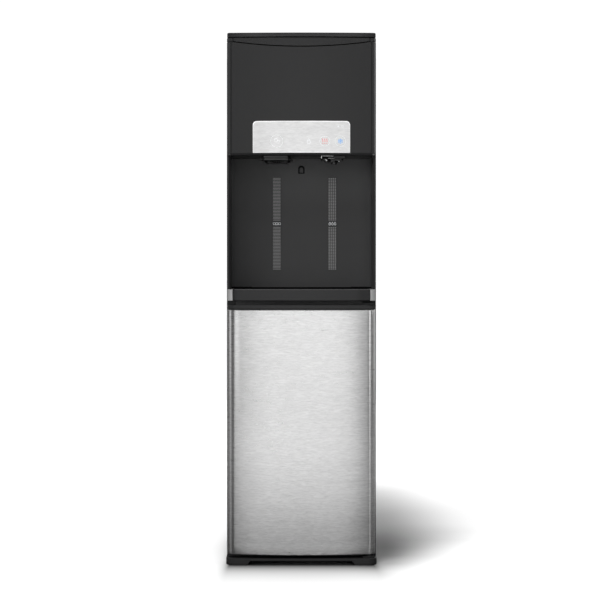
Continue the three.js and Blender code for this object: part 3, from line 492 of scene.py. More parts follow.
BLACK = rgb(44, 44, 45)
M = {
    "black_plastic": moulded("black_plastic", rgb(30, 30, 30.5), 0.50, spec=0.3),
    "head_black": head_plastic("head_black", rgb(31, 31, 31.5), 0.46),
    "satin_black": moulded("satin_black", rgb(31, 31, 31.5), 0.46, grain=2200.0, depth=0.00003, mottle=0.05, spec=0.28),
    "alcove_black": alcove_wall("alcove_black", rgb(52, 52, 52.5), rgb(27, 27, 27.5), 0.55),
    "dark_plastic": moulded("dark_plastic", rgb(22, 22, 22.5), 0.42, spec=0.3),
    "painted_sheet": sheet_paint("painted_sheet", rgb(46, 46, 47), 0.46),
    "side_sheet": sheet_paint("side_sheet", rgb(46, 46, 47), 0.46, painted_fold_shade=True),
    "brushed_steel": brushed("brushed_steel", rgb(211, 211, 211), 0.30, spread=0.04, aniso=0.9, relief=0.5, waves=0.17, gain=painted_reflection_gain),
    "trim_steel": trim_metal("trim_steel", rgb(186, 186, 186), 0.50),
    "control_foil": foil("control_foil", rgb(212, 212, 212), 0.38),
    # painted highlights: lighter strips round the control plate's edges
    "painted_rim_highlight": foil("painted_rim_highlight", rgb(244, 244, 244), 0.45, metal=0.4),
    "painted_hem_highlight": foil("painted_hem_highlight", rgb(226, 226, 226), 0.40, metal=0.7),
    "rubber": rubbery("rubber", rgb(26, 26, 27)),
    "gloss_black": glossy("gloss_black", rgb(12, 12, 12.5), 0.16, 0.25),
    "white_plastic": moulded("white_plastic", rgb(214, 218, 220), 0.38, wear=0.0, mottle=0.03),
    "red_plastic": moulded("red_plastic", rgb(168, 26, 28), 0.36, wear=0.0, mottle=0.05),
    "blue_plastic": moulded("blue_plastic", rgb(40, 92, 170), 0.36, wear=0.0, mottle=0.05),
    "zinc_sheet": cast_metal("zinc_sheet", rgb(176, 180, 184), 0.36, spangle=70.0),
    "tank": cast_metal("tank", rgb(190, 192, 194), 0.26, grain=60.0),
    "copper": cast_metal("copper", rgb(196, 118, 78), 0.28, grain=90.0),
    "foam_jacket": foam("foam_jacket", rgb(196, 188, 160)),
    "black_wire": sheet_paint("black_wire", rgb(40, 40, 41), 0.36),
    "circuit_board": circuit("circuit_board"),
    "strip_print": print_darker_low("strip_print", rgb(126), 0.5),
    "strip_ground": moulded("strip_ground", rgb(38, 38, 39), 0.5),
    "hose": clearish("hose", rgb(208, 220, 224)),
    "ink_white": printed("ink_white", rgb(248, 248, 248), 0.45, painted_glow=0.06),
    "ink_soft": printed("ink_soft", rgb(242, 243, 244), 0.45, painted_glow=0.04),
    "ink_red": printed("ink_red", rgb(218, 66, 62), 0.45, painted_glow=0.06),
    "ink_blue": printed("ink_blue", rgb(96, 164, 226), 0.45, painted_glow=0.06),
    "ink_grey": printed("ink_grey", rgb(232, 234, 236), 0.45, painted_glow=0.03),
    "chute_grey": moulded("chute_grey", rgb(54, 54, 54.5), 0.5, spec=0.3, wear=0.05),
    "edge_glint_grey": moulded("edge_glint_grey", rgb(222, 222, 222), 0.3, spec=0.5, wear=0.0),
    "deep_black": moulded("deep_black", rgb(27, 27, 27.5), 0.6, spec=0.15, wear=0.03),
    # painted light: the shelf's black is lighter, to lift the shaded recess over the door
    "shelf_black_painted_light": moulded("shelf_black_painted_light", rgb(62, 62, 62.5), 0.6, spec=0.15, wear=0.03),
    "tray_black": tray_plastic("tray_black", rgb(31, 31, 31.5), rgb(14, 14, 14.5), 0.46),
    "lip_highlight_grey": moulded("lip_highlight_grey", rgb(66, 66, 66), 0.4, spec=0.4, wear=0.0),
    "grille_black": moulded("grille_black", rgb(15, 15, 15.5), 0.75, spec=0.05, wear=0.03),
    "lid_black": moulded("lid_black", rgb(38, 38, 38.5), 0.46, grain=2200.0, depth=0.00003, mottle=0.05, spec=0.3),
    "plate_pale": printed("plate_pale", rgb(186, 188, 190), 0.5),
    "void_black": moulded("void_black", rgb(5, 5, 5.5), 0.7, spec=0.05, wear=0.0),
    "rim_highlight_grey": moulded("rim_highlight_grey", rgb(70, 70, 70.5), 0.45, spec=0.35),
    "tab_shade_black": moulded("tab_shade_black", rgb(12, 12, 12.5), 0.6, spec=0.15, wear=0.0),
    "lens_smoke": moulded("lens_smoke", rgb(54, 54, 55), 0.35, spec=0.25, wear=0.0),
    "screw_zinc": cast_metal("screw_zinc", rgb(150, 152, 156), 0.30, grain=300.0),
    "screw_black": cast_metal("screw_black", rgb(46, 46, 48), 0.40, grain=300.0, metal=0.6),
}


# ------------------------------------------------------------------ mesh helpers
def finish_mesh(o, bevel=0.0, segs=2, angle=32.0, planar=False, weld=False):
    me = o.data
    me.polygons.foreach_set("use_smooth", [True] * len(me.polygons))
    if weld:
        w = o.modifiers.new("weld", "WELD")
        w.merge_threshold = 0.000012
    if planar:
        d = o.modifiers.new("planar", "DECIMATE")
        d.decimate_type = "DISSOLVE"
        d.angle_limit = radians(0.6)
    if bevel:
        b = o.modifiers.new("bevel", "BEVEL")
        b.width = bevel / 1000.0
        b.segments = segs
        b.limit_method = "ANGLE"
        b.angle_limit = radians(angle)
        b.miter_outer = "MITER_ARC"
        b.harden_normals = False
    n = o.modifiers.new("normals", "WEIGHTED_NORMAL")
    n.keep_sharp = True
    n.weight = 50
    return o


def make(name, verts, faces, mat, body, replaces=(), bevel=0.0, segs=2, sharp=None, angle=32.0):
    me = bpy.data.meshes.new(name)
    me.from_pydata([(x / 1000.0, y / 1000.0, z / 1000.0) for x, y, z in verts], [], faces)
    me.validate()
    me.update()
    o = bpy.data.objects.new(name, me)
    COLL.objects.link(o)
    me.materials.append(M[mat] if isinstance(mat, str) else mat)
    if sharp is not None:
        me.polygons.foreach_set("use_smooth", [True] * len(me.polygons))
        me.set_sharp_from_angle(angle=radians(sharp))
    else:
        finish_mesh(o, bevel, segs, angle)
    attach(o, body)
    if replaces:
        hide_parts(*replaces)
    return o


def join(*parts):
    """Several (verts, faces) as one."""
    v, f = [], []
    for pv, pf in parts:
        k = len(v)
        v += list(pv)
        f += [tuple(i + k for i in face) for face in pf]
    return v, f


def prism(outline, a, b, axis="z"):
    """Polygon run from a to b. axis z: (x, y); axis y: (x, z); axis x: (y, z)."""
    n = len(outline)
    area = sum(outline[i][0] * outline[(i + 1) % n][1] - outline[(i + 1) % n][0] * outline[i][1] for i in range(n))
    pts = list(outline) if area > 0 else list(reversed(outline))
    put = {"z": lambda p, h: (p[0], p[1], h), "y": lambda p, h: (p[0], h, p[1]), "x": lambda p, h: (h, p[0], p[1])}[axis]
    v = [put(p, a) for p in pts] + [put(p, b) for p in pts]
    f = [tuple(range(n - 1, -1, -1)), tuple(range(n, 2 * n))] + [(i, (i + 1) % n, n + (i + 1) % n, n + i) for i in range(n)]
    if axis == "y":
        f = [tuple(reversed(x)) for x in f]
    return v, f


def box(x0, y0, z0, x1, y1, z1):
    return prism([(x0, y0), (x1, y0), (x1, y1), (x0, y1)], z0, z1)


def ring_pts(r, n, start=0.0):
    return [(r * cos(start + 2 * pi * i / n), r * sin(start + 2 * pi * i / n)) for i in range(n)]


def lathe(profile, centre, axis="z", n=32):
    """Turned shape: profile pairs (radius, position along the axis), closed on the axis or on itself."""
    v, f, rows = [], [], []
    put = {"z": lambda x, y, h: (centre[0] + x, centre[1] + y, h), "y": lambda x, y, h: (centre[0] + x, h, centre[1] + y), "x": lambda x, y, h: (h, centre[0] + x, centre[1] + y)}[axis]
    for r, h in profile:
        if r < 1e-6:
            rows.append([len(v)])
            v.append(put(0, 0, h))
        else:
            rows.append(list(range(len(v), len(v) + n)))
            v += [put(x, y, h) for x, y in ring_pts(r, n)]
    pairs = list(zip(rows, rows[1:]))
    if len(rows[0]) > 1 and len(rows[-1]) > 1:
        pairs.append((rows[-1], rows[0]))
    for a, b in pairs:
        for i in range(n):
            j = (i + 1) % n
            if len(a) == 1 and len(b) == 1:
                continue
            if len(a) == 1:
                f.append((a[0], b[j], b[i]))
            elif len(b) == 1:
                f.append((a[i], a[j], b[0]))
            else:
                f.append((a[i], a[j], b[j], b[i]))
    if axis == "y":
        f = [tuple(reversed(x)) for x in f]
    return v, f


def swept(columns, close_ends=True, loop=False):
    """Columns of points, all the same length, each a closed section."""
    n = len(columns[0])
    v = [p for c in columns for p in c]
    f = []
    m = len(columns)
    for i in range(m if loop else m - 1):
        k = (i + 1) % m
        for j in range(n):
            q = (j + 1) % n
            f.append((i * n + j, k * n + j, k * n + q, i * n + q))
    if close_ends and not loop:
        f.append(tuple(range(n)))
        f.append(tuple(reversed(range((m - 1) * n, m * n))))
    return v, f


def tube(points, r, n=10, closed=False):
    """Round bar along a route."""
    pts = [Vector(p) for p in points]
    m = len(pts)
    cols = []
    prev = None
    for i, p in enumerate(pts):
        a = pts[(i - 1) % m] if (closed or i) else pts[i]
        b = pts[(i + 1) % m] if (closed or i < m - 1) else pts[i]
        t = (b - a).normalized()
        if prev is None:
            ref = Vector((0, 0, 1)) if abs(t.z) < 0.9 else Vector((0, 1, 0))
            u = t.cross(ref).normalized()
        else:
            u = (prev - t * prev.dot(t)).normalized()
        prev = u
        w = t.cross(u)
        cols.append([tuple(p + u * (r * cos(2 * pi * k / n)) + w * (r * sin(2 * pi * k / n))) for k in range(n)])
    return swept(cols, loop=closed)


def curve(points, per=8, closed=False):
    """Catmull-Rom points through a route."""
    p = [Vector(q) for q in points]
    out = []
    m = len(p)
    for i in range(m if closed else m - 1):
        p0, p1, p2, p3 = (p[(i - 1) % m] if closed or i else p[0]), p[i], p[(i + 1) % m], (p[(i + 2) % m] if closed or i + 2 < m else p[m - 1])
        for k in range(per):
            t = k / per
            out.append(tuple(0.5 * ((2 * p1) + (p2 - p0) * t + (2 * p0 - 5 * p1 + 4 * p2 - p3) * t * t + (3 * p1 - p0 - 3 * p2 + p3) * t ** 3)))
    if not closed:
        out.append(tuple(p[-1]))
    return out


def filled(outer, holes, yf, step=6.0, lift=0.0, thick=0.0):
    """A sheet in the XZ plane laid on y = yf(x): outline, holes, and inner points so that it follows the crown."""
    def dense(lp):
        out = []
        for i, a in enumerate(lp):
            b = lp[(i + 1) % len(lp)]
            k = max(1, int(sqrt((b[0] - a[0]) ** 2 + (b[1] - a[1]) ** 2) / step))
            out += [(a[0] + (b[0] - a[0]) * j / k, a[1] + (b[1] - a[1]) * j / k) for j in range(k)]
        return out

    outer, holes = dense(outer), [dense(h) for h in holes]
    loops = [outer] + list(holes)
    pts, edges = [], []
    for lp in loops:
        k = len(pts)
        pts += [Vector(p) for p in lp]
        edges += [(k + i, k + (i + 1) % len(lp)) for i in range(len(lp))]
    xs = [p[0] for p in outer]
    zs = [p[1] for p in outer]

    def inside(x, z, lp):
        c = False
        for i in range(len(lp)):
            (x1, z1), (x2, z2) = lp[i], lp[(i + 1) % len(lp)]
            if (z1 > z) != (z2 > z) and x < (x2 - x1) * (z - z1) / (z2 - z1) + x1:
                c = not c
        return c

    nx, nz = max(1, int((max(xs) - min(xs)) / step)), max(1, int((max(zs) - min(zs)) / step))
    for i in range(1, nx):
        for j in range(1, nz):
            x, z = min(xs) + (max(xs) - min(xs)) * i / nx, min(zs) + (max(zs) - min(zs)) * j / nz
            if inside(x, z, outer) and not any(inside(x, z, h) for h in holes):
                if all((p.x - x) ** 2 + (p.y - z) ** 2 > (0.35 * step) ** 2 for p in pts[:sum(len(l) for l in loops)]):
                    pts.append(Vector((x, z)))
    cv, ce, cf, *_ = geometry.delaunay_2d_cdt(pts, edges, [], 0, 1e-6)
    keep = []
    for tri in cf:
        c = sum((cv[i] for i in tri), Vector((0, 0))) / 3
        if inside(c.x, c.y, outer) and not any(inside(c.x, c.y, h) for h in holes):
            keep.append(tuple(tri))
    v = [(p.x, yf(p.x) - lift, p.y) for p in cv]
    f = []
    for tri in keep:
        a, b, c = (cv[i] for i in tri)
        up = (b.x - a.x) * (c.y - a.y) - (b.y - a.y) * (c.x - a.x) > 0
        f.append(tri if up else tuple(reversed(tri)))
    if thick:
        n = len(v)
        v += [(p.x, yf(p.x) - lift + thick, p.y) for p in cv]
        count = {}
        for tri in f:
            for i in range(3):
                e = (tri[i], tri[(i + 1) % 3])
                count[e] = count.get(e, 0) + 1
        rim = [e for e in count if (e[1], e[0]) not in count]
        f = f + [tuple(n + i for i in reversed(t)) for t in f] + [(b, a, n + a, n + b) for a, b in rim]
    return v, f


def circle(cx, cz, r, n=40):
    return [(cx + r * cos(2 * pi * i / n), cz + r * sin(2 * pi * i / n)) for i in range(n)]


def round_rect(x0, z0, x1, z1, rt, rb, n=8):
    p = []
    for cx, cz, r, a0 in ((x1 - rt, z1 - rt, rt, 0), (x0 + rt, z1 - rt, rt, pi / 2), (x0 + rb, z0 + rb, rb, pi), (x1 - rb, z0 + rb, rb, -pi / 2)):
        if r <= 0:
            p.append((cx, cz))
        else:
            p += [(cx + r * cos(a0 + i / n * pi / 2), cz + r * sin(a0 + i / n * pi / 2)) for i in range(n + 1)]
    return p


def stroke(points, w, yf, lift, closed=False, step=1.2):
    """A flat printed line of width w on y = yf(x) - lift, through (x, z) points."""
    pts = []
    m = len(points)
    for i in range(m if closed else m - 1):
        a, b = Vector(points[i]), Vector(points[(i + 1) % m])
        k = max(1, int((b - a).length / step))
        pts += [a.lerp(b, j / k) for j in range(k)]
    if not closed:
        pts.append(Vector(points[-1]))
    v, f = [], []
    n = len(pts)
    for i, p in enumerate(pts):
        a = pts[(i - 1) % n] if (closed or i) else p
        b = pts[(i + 1) % n] if (closed or i < n - 1) else p
        t = (b - a).normalized()
        nrm = Vector((-t.y, t.x)) * (w / 2)
        for q in (p + nrm, p - nrm):
            v.append((q.x, yf(q.x) - lift, q.y))
    for i in range(n if closed else n - 1):
        k = (i + 1) % n
        f.append((2 * i, 2 * i + 1, 2 * k + 1, 2 * k))
    return v, f


def patch(loop, yf, lift):
    """A flat printed shape."""
    v = [(x, yf(x) - lift, z) for x, z in loop]
    n = len(loop)
    area = sum(loop[i][0] * loop[(i + 1) % n][1] - loop[(i + 1) % n][0] * loop[i][1] for i in range(n))
    f = tuple(range(n))
    return v, [f if area > 0 else tuple(reversed(f))]


def subtract(target, *cutters):
    """Cuts meshes (verts, faces) out of an object's mesh for good."""
    tools = []
    for v, f in cutters:
        me = bpy.data.meshes.new("tool")
        me.from_pydata([(x / 1000.0, y / 1000.0, z / 1000.0) for x, y, z in v], [], f)
        me.update()
        o = bpy.data.objects.new("tool", me)
        COLL.objects.link(o)
        tools.append(o)
        m = target.modifiers.new("cut", "BOOLEAN")
        m.operation = "DIFFERENCE"
        m.solver = "EXACT"
        m.object = o
    kept = [m for m in target.modifiers if m.type != "BOOLEAN"]
    shown = {m.name: m.show_viewport for m in kept}
    for m in kept:
        m.show_viewport = False
    bpy.context.view_layer.update()
    deps = bpy.context.evaluated_depsgraph_get()
    new = bpy.data.meshes.new_from_object(target.evaluated_get(deps))
    for m in kept:
        m.show_viewport = shown[m.name]
    for m in [m for m in target.modifiers if m.type == "BOOLEAN"]:
        target.modifiers.remove(m)
    old = target.data
    target.data = new
    bpy.data.meshes.remove(old)
    for o in tools:
        me = o.data
        bpy.data.objects.remove(o)
        bpy.data.meshes.remove(me)
    new.polygons.foreach_set("use_smooth", [True] * len(new.polygons))
    return target


SLOTTED = ("rear_panel", "drip_grille")  # their faces are pierced, so they stay as cut


def dress(name, mat, bevel=0.4, segs=2, angle=32.0):
    """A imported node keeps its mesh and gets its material, softened edges and clean normals."""
    o = NODES[name]
    me = o.data
    me.materials.clear()
    me.materials.append(M[mat] if isinstance(mat, str) else mat)
    finish_mesh(o, bevel, segs, angle, planar=name not in SLOTTED, weld=True)
    return o


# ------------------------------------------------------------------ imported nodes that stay
for n, mat, bev in [
    ("foot_front_left", "rubber", 0.5), ("foot_front_right", "rubber", 0.5), ("foot_rear_left", "rubber", 0.5), ("foot_rear_right", "rubber", 0.5),
    ("left_side_panel", "side_sheet", 0.5), ("right_side_panel", "side_sheet", 0.5), ("rear_panel", "painted_sheet", 0.0),
    ("bottle_floor", "black_plastic", 0.8), ("mid_deck", "zinc_sheet", 0.3), ("tray_shelf", "shelf_black_painted_light", 0.5),
    ("alcove_liner", "alcove_black", 0.5), ("ice_chute", "black_plastic", 0.6),
    ("chute_flap", "dark_plastic", 0.3), ("nozzle_housing", "gloss_black", 0.9), ("water_nozzle", "gloss_black", 0.5),
    ("control_board", "circuit_board", 0.2), ("top_cap", "black_plastic", 0.5), 
    ("base_plinth", "black_plastic", 0.7),
    ("door_top_cap", "black_plastic", 0.5), ("door_bottom_cap", "black_plastic", 0.4), ("door_liner", "black_plastic", 0.6), ("door_gasket", "rubber", 0.9),
    ("hinge_bracket_top", "deep_black", 0.3), ("hinge_bracket_bottom", "deep_black", 0.3),
    ("tray_trim_left", "trim_steel", 0.4), ("tray_trim_right", "trim_steel", 0.4),
    ("drip_tray", "tray_black", 0.7), ("drip_grille", "grille_black", 0.25),
    ("bottle_probe", "white_plastic", 0.8), ("probe_cap", "blue_plastic", 1.0), ("probe_hanger", "zinc_sheet", 0.3), ("suction_hose", "hose", 0.0),
    ("water_pump", "dark_plastic", 0.8), ("compressor", "black_wire", 0.6), ("cold_tank", "foam_jacket", 1.2), ("hot_tank", "tank", 0.6),
    ("condenser_coil", "black_wire", 0.2), ("ice_bin", "white_plastic", 0.6), ("ice_auger", "tank", 0.3), ("auger_motor", "zinc_sheet", 0.5),
    ("evaporator", "tank", 0.4), ("ice_mould_tray", "white_plastic", 0.5), ("fan_shroud", "dark_plastic", 0.5), ("fan_rotor", "black_plastic", 0.3),
    ("switch_bezel", "black_plastic", 0.4), ("hot_switch", "red_plastic", 0.4), ("cold_switch", "blue_plastic", 0.4),
    ("drain_cap", "white_plastic", 0.6), ("cord_gland", "rubber", 0.5),
]:
    dress(n, mat, bevel=bev)

# ------------------------------------------------------------------ door skin
def door_skin():
    """Folded sheet: rounded along its top and bottom edges, capped flat at the sides."""
    end = -175.5
    prof = []  # (inset, z): outside from bottom to top, then inside back down
    r = 2.2
    for i in range(7):
        a = pi / 2 * i / 6
        prof.append((r - r * sin(a), SKIN0 + r - r * cos(a)))
    for z in [40, 80, 130, 190, 260, 330, 400, 460, 505]:
        prof.append((0.0, float(z)))
    for i in range(7):
        a = pi / 2 * i / 6
        prof.append((r - r * cos(a), SKIN1 - r + r * sin(a)))
    prof += [(3.1, SKIN1), (3.1, SKIN1 - 0.9), (2.4, SKIN1 - 1.0)]
    for i in range(1, 4):
        a = pi / 2 * i / 3
        prof.append((r - 0.95 * cos(a - pi / 2) * 0 - (r - 1.1) * sin(a), SKIN1 - 1.1 - (r - 1.1) * (1 - cos(a))))
    prof += [(1.1, SKIN1 - 6), (1.1, SKIN0 + 6), (1.25, SKIN0 + 2.2), (1.9, SKIN0 + 1.2), (2.4, SKIN0 + 1.0), (3.1, SKIN0 + 0.9), (3.1, SKIN0)]
    base = front_line(HALF_DOOR, FRONT, CROWN_R, 19.0, 90, 22)
    cols = []
    lim = [p for p in base if p[1] <= end]
    pts = [(-HALF_DOOR + 1.05, end)] + lim + [(HALF_DOOR - 1.05, end)]
    full = []
    for i, p in enumerate(lim):
        a, b = lim[max(0, i - 1)], lim[min(len(lim) - 1, i + 1)]
        t = Vector((b[0] - a[0], b[1] - a[1])).normalized()
        full.append((p, Vector((-t.y, t.x))))
    (p0, n0), (p1, n1) = full[0], full[-1]
    for p, nrm in full:
        cols.append([(p[0] + nrm.x * i, p[1] + nrm.y * i, z) for i, z in prof])
    return swept(cols)


v, f = door_skin()
make("door_skin_sheet", v, f, "brushed_steel", "door", ("door_skin",), sharp=50)

# ------------------------------------------------------------------ head front
def head_front():
    ins = 0.3
    half, front, r, rc = HALF_DOOR - ins, FRONT + ins, CROWN_R - ins, 9.5 - ins
    gx = [144.9, 145.1, 147.0, 147.2]
    xs = [s * g for s in (-1, 1) for g in gx] + [s * g for s in (-1, 1) for g in (143.19, 143.21)]
    line = front_line(half, front, r, rc, 100, 14, xs)
    rear = -164.5
    line = [(-half, rear), (-half, -171.0)] + line + [(half, -171.0), (half, rear)]
    cols = []
    for i, p in enumerate(line):
        a, b = line[max(0, i - 1)], line[min(len(line) - 1, i + 1)]
        t = Vector((b[0] - a[0], b[1] - a[1])).normalized()
        n = Vector((-t.y, t.x))
        x = abs(p[0])
        top = smile(p[0]) - 0.35 if x < 143.2 else Z_CAP
        groove = 2.2 if 145.0 < x < 147.1 and p[1] < -180.5 else 0.0
        sec = [(4.4, Z_HEAD + 0.5), (3.4, Z_HEAD + 0.55), (2.7, Z_HEAD + 0.8), (2.2, Z_HEAD + 1.3), (0.55, Z_PLATE - 0.5), (0.2, Z_PLATE - 0.1), (0.0, Z_PLATE + 0.35)]
        sec += [(groove, Z_PLATE + 0.8), (groove, Z_PLATE + 3)]
        lo, hi = Z_PLATE + 3, (top - 1.0 if x < 143.2 else 1087.2)
        sec += [(groove, lo + (hi - lo) * k / 8) for k in range(1, 9)]
        if x < 143.2:
            sec += [(0.0, hi + 0.1), (0.0, hi + 0.2), (0.0, hi + 0.3), (0.0, hi + 0.4), (0.05, top - 0.3), (0.15, top - 0.1), (0.35, top)]
        else:
            sec += [(1.9, hi + 0.25), (1.9, hi + 1.9), (0.3, hi + 2.2), (0.0, hi + 2.7), (0.05, top - 0.3), (0.15, top - 0.1), (0.35, top)]
        sec += [(2.7, top), (2.7, top - 5), (2.7, Z_PLATE + 6), (5.2, Z_PLATE + 1), (7.2, Z_HEAD + 0.3)]
        cols.append([(p[0] + n.x * i_, p[1] + n.y * i_, z) for i_, z in sec])
    return swept(cols)


KEYS = {"ice_key": (-51.2, 881.5, 13.4), "hot_key": (48.5, 881.5, 9.3), "cold_key": (80.8, 881.5, 9.8)}
v, f = head_front()
head = make("head_front", v, f, "head_black", "cabinet", ("front_fascia",), sharp=38)
# wells behind the keys, so that a pressed key has room to sink
subtract(head, *[lathe([(0.0, -203.0), (r_ + 0.35, -203.0), (r_ + 0.35, -190.0), (0.0, -190.0)], (x_, z_), "y", 48) for x_, z_, r_ in KEYS.values()])
head.data.set_sharp_from_angle(angle=radians(38))


# ------------------------------------------------------------------ grip below the lid
def grip():
    cols = []
    n = 96
    for i in range(n + 1):
        x = -141.9 + 283.8 * i / n
        y = crown_y(x) + 0.3
        lo, hi = smile(x) + 1.45, 1096.6 - 0.5 * (1 - (x / 142.5) ** 2)
        e = min(1.0, (141.9 - abs(x)) / 0.6)
        sec = [(0.35 + 0.6 * (1 - e), lo), (0.12 + 0.6 * (1 - e), lo + 0.12), (0.6 * (1 - e), lo + 0.4)]
        sec += [(0.6 * (1 - e), lo + 0.4 + (hi - lo - 0.9) * k / 5) for k in range(1, 6)]
        sec += [(0.15 + 0.6 * (1 - e), hi - 0.15), (0.45 + 0.6 * (1 - e), hi), (2.7, hi), (2.7, lo)]
        cols.append([(x, y + d, z) for d, z in sec])
    return swept(cols)


v, f = grip()
make("lid_grip", v, f, "satin_black", "lid", ("lid_lip",), sharp=40)
y = crown_y(60)
v, f = join(*[box(x - 9.8, y + 3.0, 1088, x + 9.8, y + 4.8, 1102.2) for x in (-60, 60)])
# painted shade: the tabs behind the seam are near-black, so the gap reads dark
make("lid_grip_tabs", v, f, "tab_shade_black", "lid", bevel=0.2)

# ------------------------------------------------------------------ lid
def lid_plan(half, front, r, rc):
    line = front_line(half, front, r, rc, 60, 12)
    rear = 171.3
    n = 5
    rr = 5.0
    right = [(half, -120.0), (half, 0.0), (half, 120.0)] + [(half - rr + rr * cos(pi / 2 * i / n), rear - rr + rr * sin(pi / 2 * i / n)) for i in range(n + 1)]
    back = [(half * (1 - 2 * (i + 1) / 13), rear) for i in range(12)]
    left = [(-x, y) for x, y in reversed(right)]
    return line + right + back + left


def lerp2(a, b, t):
    return (a[0] + (b[0] - a[0]) * t, a[1] + (b[1] - a[1]) * t)


def lid_shell():
    lo, hi = lid_plan(154.8, -199.7, 800.0, 8.0), lid_plan(154.5, -196.0, 2200.0, 7.0)
    n = len(lo)
    z0, z1 = 1098.2, 1107.0

    def inset(pl, d):
        out = []
        m = len(pl)
        for i in range(m):
            a, b = pl[(i - 1) % m], pl[(i + 1) % m]
            t = Vector((b[0] - a[0], b[1] - a[1])).normalized()
            out.append((pl[i][0] - t.y * d, pl[i][1] + t.x * d))
        return out

    rows = []
    # (blend between the two outlines, inset, z) from the inner underside round the rim to the top
    for tt, d, z in [(0.3, 4.6, 1103.7), (0.2, 4.4, 1102.8), (0.0, 4.2, z0 + 0.5), (0.0, 3.9, z0 + 0.05), (0.0, 0.9, z0), (0.0, 0.35, z0 + 0.15), (0.02, 0.05, z0 + 0.6),
                     (0.35, 0.0, z0 + 3.4), (0.65, 0.0, z0 + 6.0), (0.78, 0.05, z1 - 2.2), (0.86, 0.25, z1 - 1.3), (0.93, 0.65, z1 - 0.65), (0.98, 1.25, z1 - 0.22), (1.0, 2.1, z1 - 0.04), (1.0, 3.0, z1)]:
        pl = [lerp2(a, b, tt) for a, b in zip(lo, hi)]
        rows.append([(x, y, z) for x, y in inset(pl, d)])
    v = [p for r in rows for p in r]
    f = []
    for k in range(len(rows) - 1):
        for i in range(n):
            j = (i + 1) % n
            f.append((k * n + i, k * n + j, (k + 1) * n + j, (k + 1) * n + i))
    f.append(tuple(reversed(range(n))))
    f.append(tuple(range((len(rows) - 1) * n, len(rows) * n)))
    return v, f


parts = [lid_shell()]
for s in (-1, 1):
    x0, x1 = min(s * 84.9, s * 105.1), max(s * 84.9, s * 105.1)
    parts.append(lathe([(1.7, x0), (2.9, x0), (2.9, x1), (1.7, x1)], (168.4, 1092.5), "x", 28))
    parts.append(box(x0 + 0.3, 166.2, 1094.6, x1 - 0.3, 170.6, 1099.0))
v, f = join(*parts)
make("top_lid_shell", v, f, "lid_black", "lid", ("top_lid",), sharp=40)

v, f = join(box(-147.5, -158.0, 1096.55, -143.5, 163.0, 1099.4), box(143.5, -158.0, 1096.55, 147.5, 163.0, 1099.4), box(-143.5, -158.0, 1096.55, 143.5, -154.0, 1099.4), box(-143.5, 159.0, 1096.55, 143.5, 163.0, 1099.4))
make("lid_seal", v, f, "rubber", "lid", bevel=0.3)
v, f = join(*[box(min(s_ * 151.5, s_ * 154.0), -162.0, 1050.0, max(s_ * 151.5, s_ * 154.0), 163.0, 1061.0) for s_ in (-1, 1)])
make("seam_backing", v, f, "black_plastic", "cabinet", sharp=30)

# ------------------------------------------------------------------ control plate, keys and their marks
def plate_y(x):
    return crown_y(x) + 0.1


rim_line = round_rect(-100.3, Z_PLATE + 0.7, 100.3, Z_PLATE1 - 0.7, 7.4, 0.5)
v, f = filled(round_rect(-101, Z_PLATE, 101, Z_PLATE1, 8, 0.6), [circle(x, z, r + 0.22, 48) for x, z, r in KEYS.values()], plate_y, 7.0, 0.0, 0.9)
make("control_plate_face", v, f, "control_foil", "cabinet", ("control_plate",), bevel=0.22, segs=2)
top_edge = [p for p in rim_line[9:18]] + [p for p in rim_line[0:9]]
top_edge = sorted([p for p in rim_line if p[1] > Z_PLATE1 - 8.2], key=lambda p: p[0] * 10 + (p[1] if p[0] < 0 else -p[1]) * 0.01)
# painted highlight: a pale strip along the plate's top edge
v, f = stroke(top_edge, 1.3, plate_y, 0.08, step=4.0)
make("control_plate_rim_highlight", v, f, "painted_rim_highlight", "cabinet", sharp=30)
# painted highlight: a lighter strip down the plate's sides and along its bottom
v, f = join(stroke([(-100.3, Z_PLATE1 - 8), (-100.3, Z_PLATE + 0.7), (100.3, Z_PLATE + 0.7), (100.3, Z_PLATE1 - 8)], 1.0, plate_y, 0.07, step=4.0))
make("control_plate_hem_highlight", v, f, "painted_hem_highlight", "cabinet", sharp=30)
for key, (x, z, r) in KEYS.items():
    v, f = filled(circle(x, z, r, 48), [], plate_y, 4.0, 0.12, 1.2)
    make(key + "_cap", v, f, "control_foil", key, (key,), bevel=0.15, segs=2)
    out = key != "ice_key"
    v, f = stroke(circle(x, z, r + 0.75 if out else r - 0.45, 72), 0.72, plate_y, 0.18 if out else 0.2, closed=True)
    make(key + "_ring", v, f, "ink_soft", "cabinet" if out else key, sharp=30)


def arc_pts(cx, cz, r, a0, a1, n=10):
    return [(cx + r * cos(radians(a0 + (a1 - a0) * i / n)), cz + r * sin(radians(a0 + (a1 - a0) * i / n))) for i in range(n + 1)]


# two tilted squares on the ice key
parts = []
for cx, cz, s, rot in ((-52.6, 883.2, 3.0, 20), (-48.6, 879.8, 2.5, -14)):
    sq = [(cx + s * sqrt(2) * cos(radians(rot + 45 + 90 * k)), cz + s * sqrt(2) * sin(radians(rot + 45 + 90 * k))) for k in range(4)]
    parts.append(stroke(sq, 0.5, plate_y, 0.2, closed=True))
    off = (0.42 * s, 0.5 * s)
    parts.append(stroke([sq[1], (sq[1][0] + off[0], sq[1][1] + off[1]), (sq[0][0] + off[0], sq[0][1] + off[1]), sq[0]], 0.4, plate_y, 0.2))
v, f = join(*parts)
make("ice_mark", v, f, "ink_soft", "ice_key", sharp=30)
# three rising steam lines over a bar on the hot key
parts = []
for dx in (-4.3, 0.0, 4.3):
    parts.append(stroke([(48.5 + dx + 0.4 * sin(k / 12 * 2 * pi), 879.2 + 7.6 * k / 12) for k in range(13)], 1.0, plate_y, 0.2))
    parts.append(stroke([(47.8 + dx, 876.4), (49.2 + dx, 876.4)], 1.3, plate_y, 0.2))
v, f = join(*parts)
make("hot_mark", v, f, "ink_red", "hot_key", sharp=30)
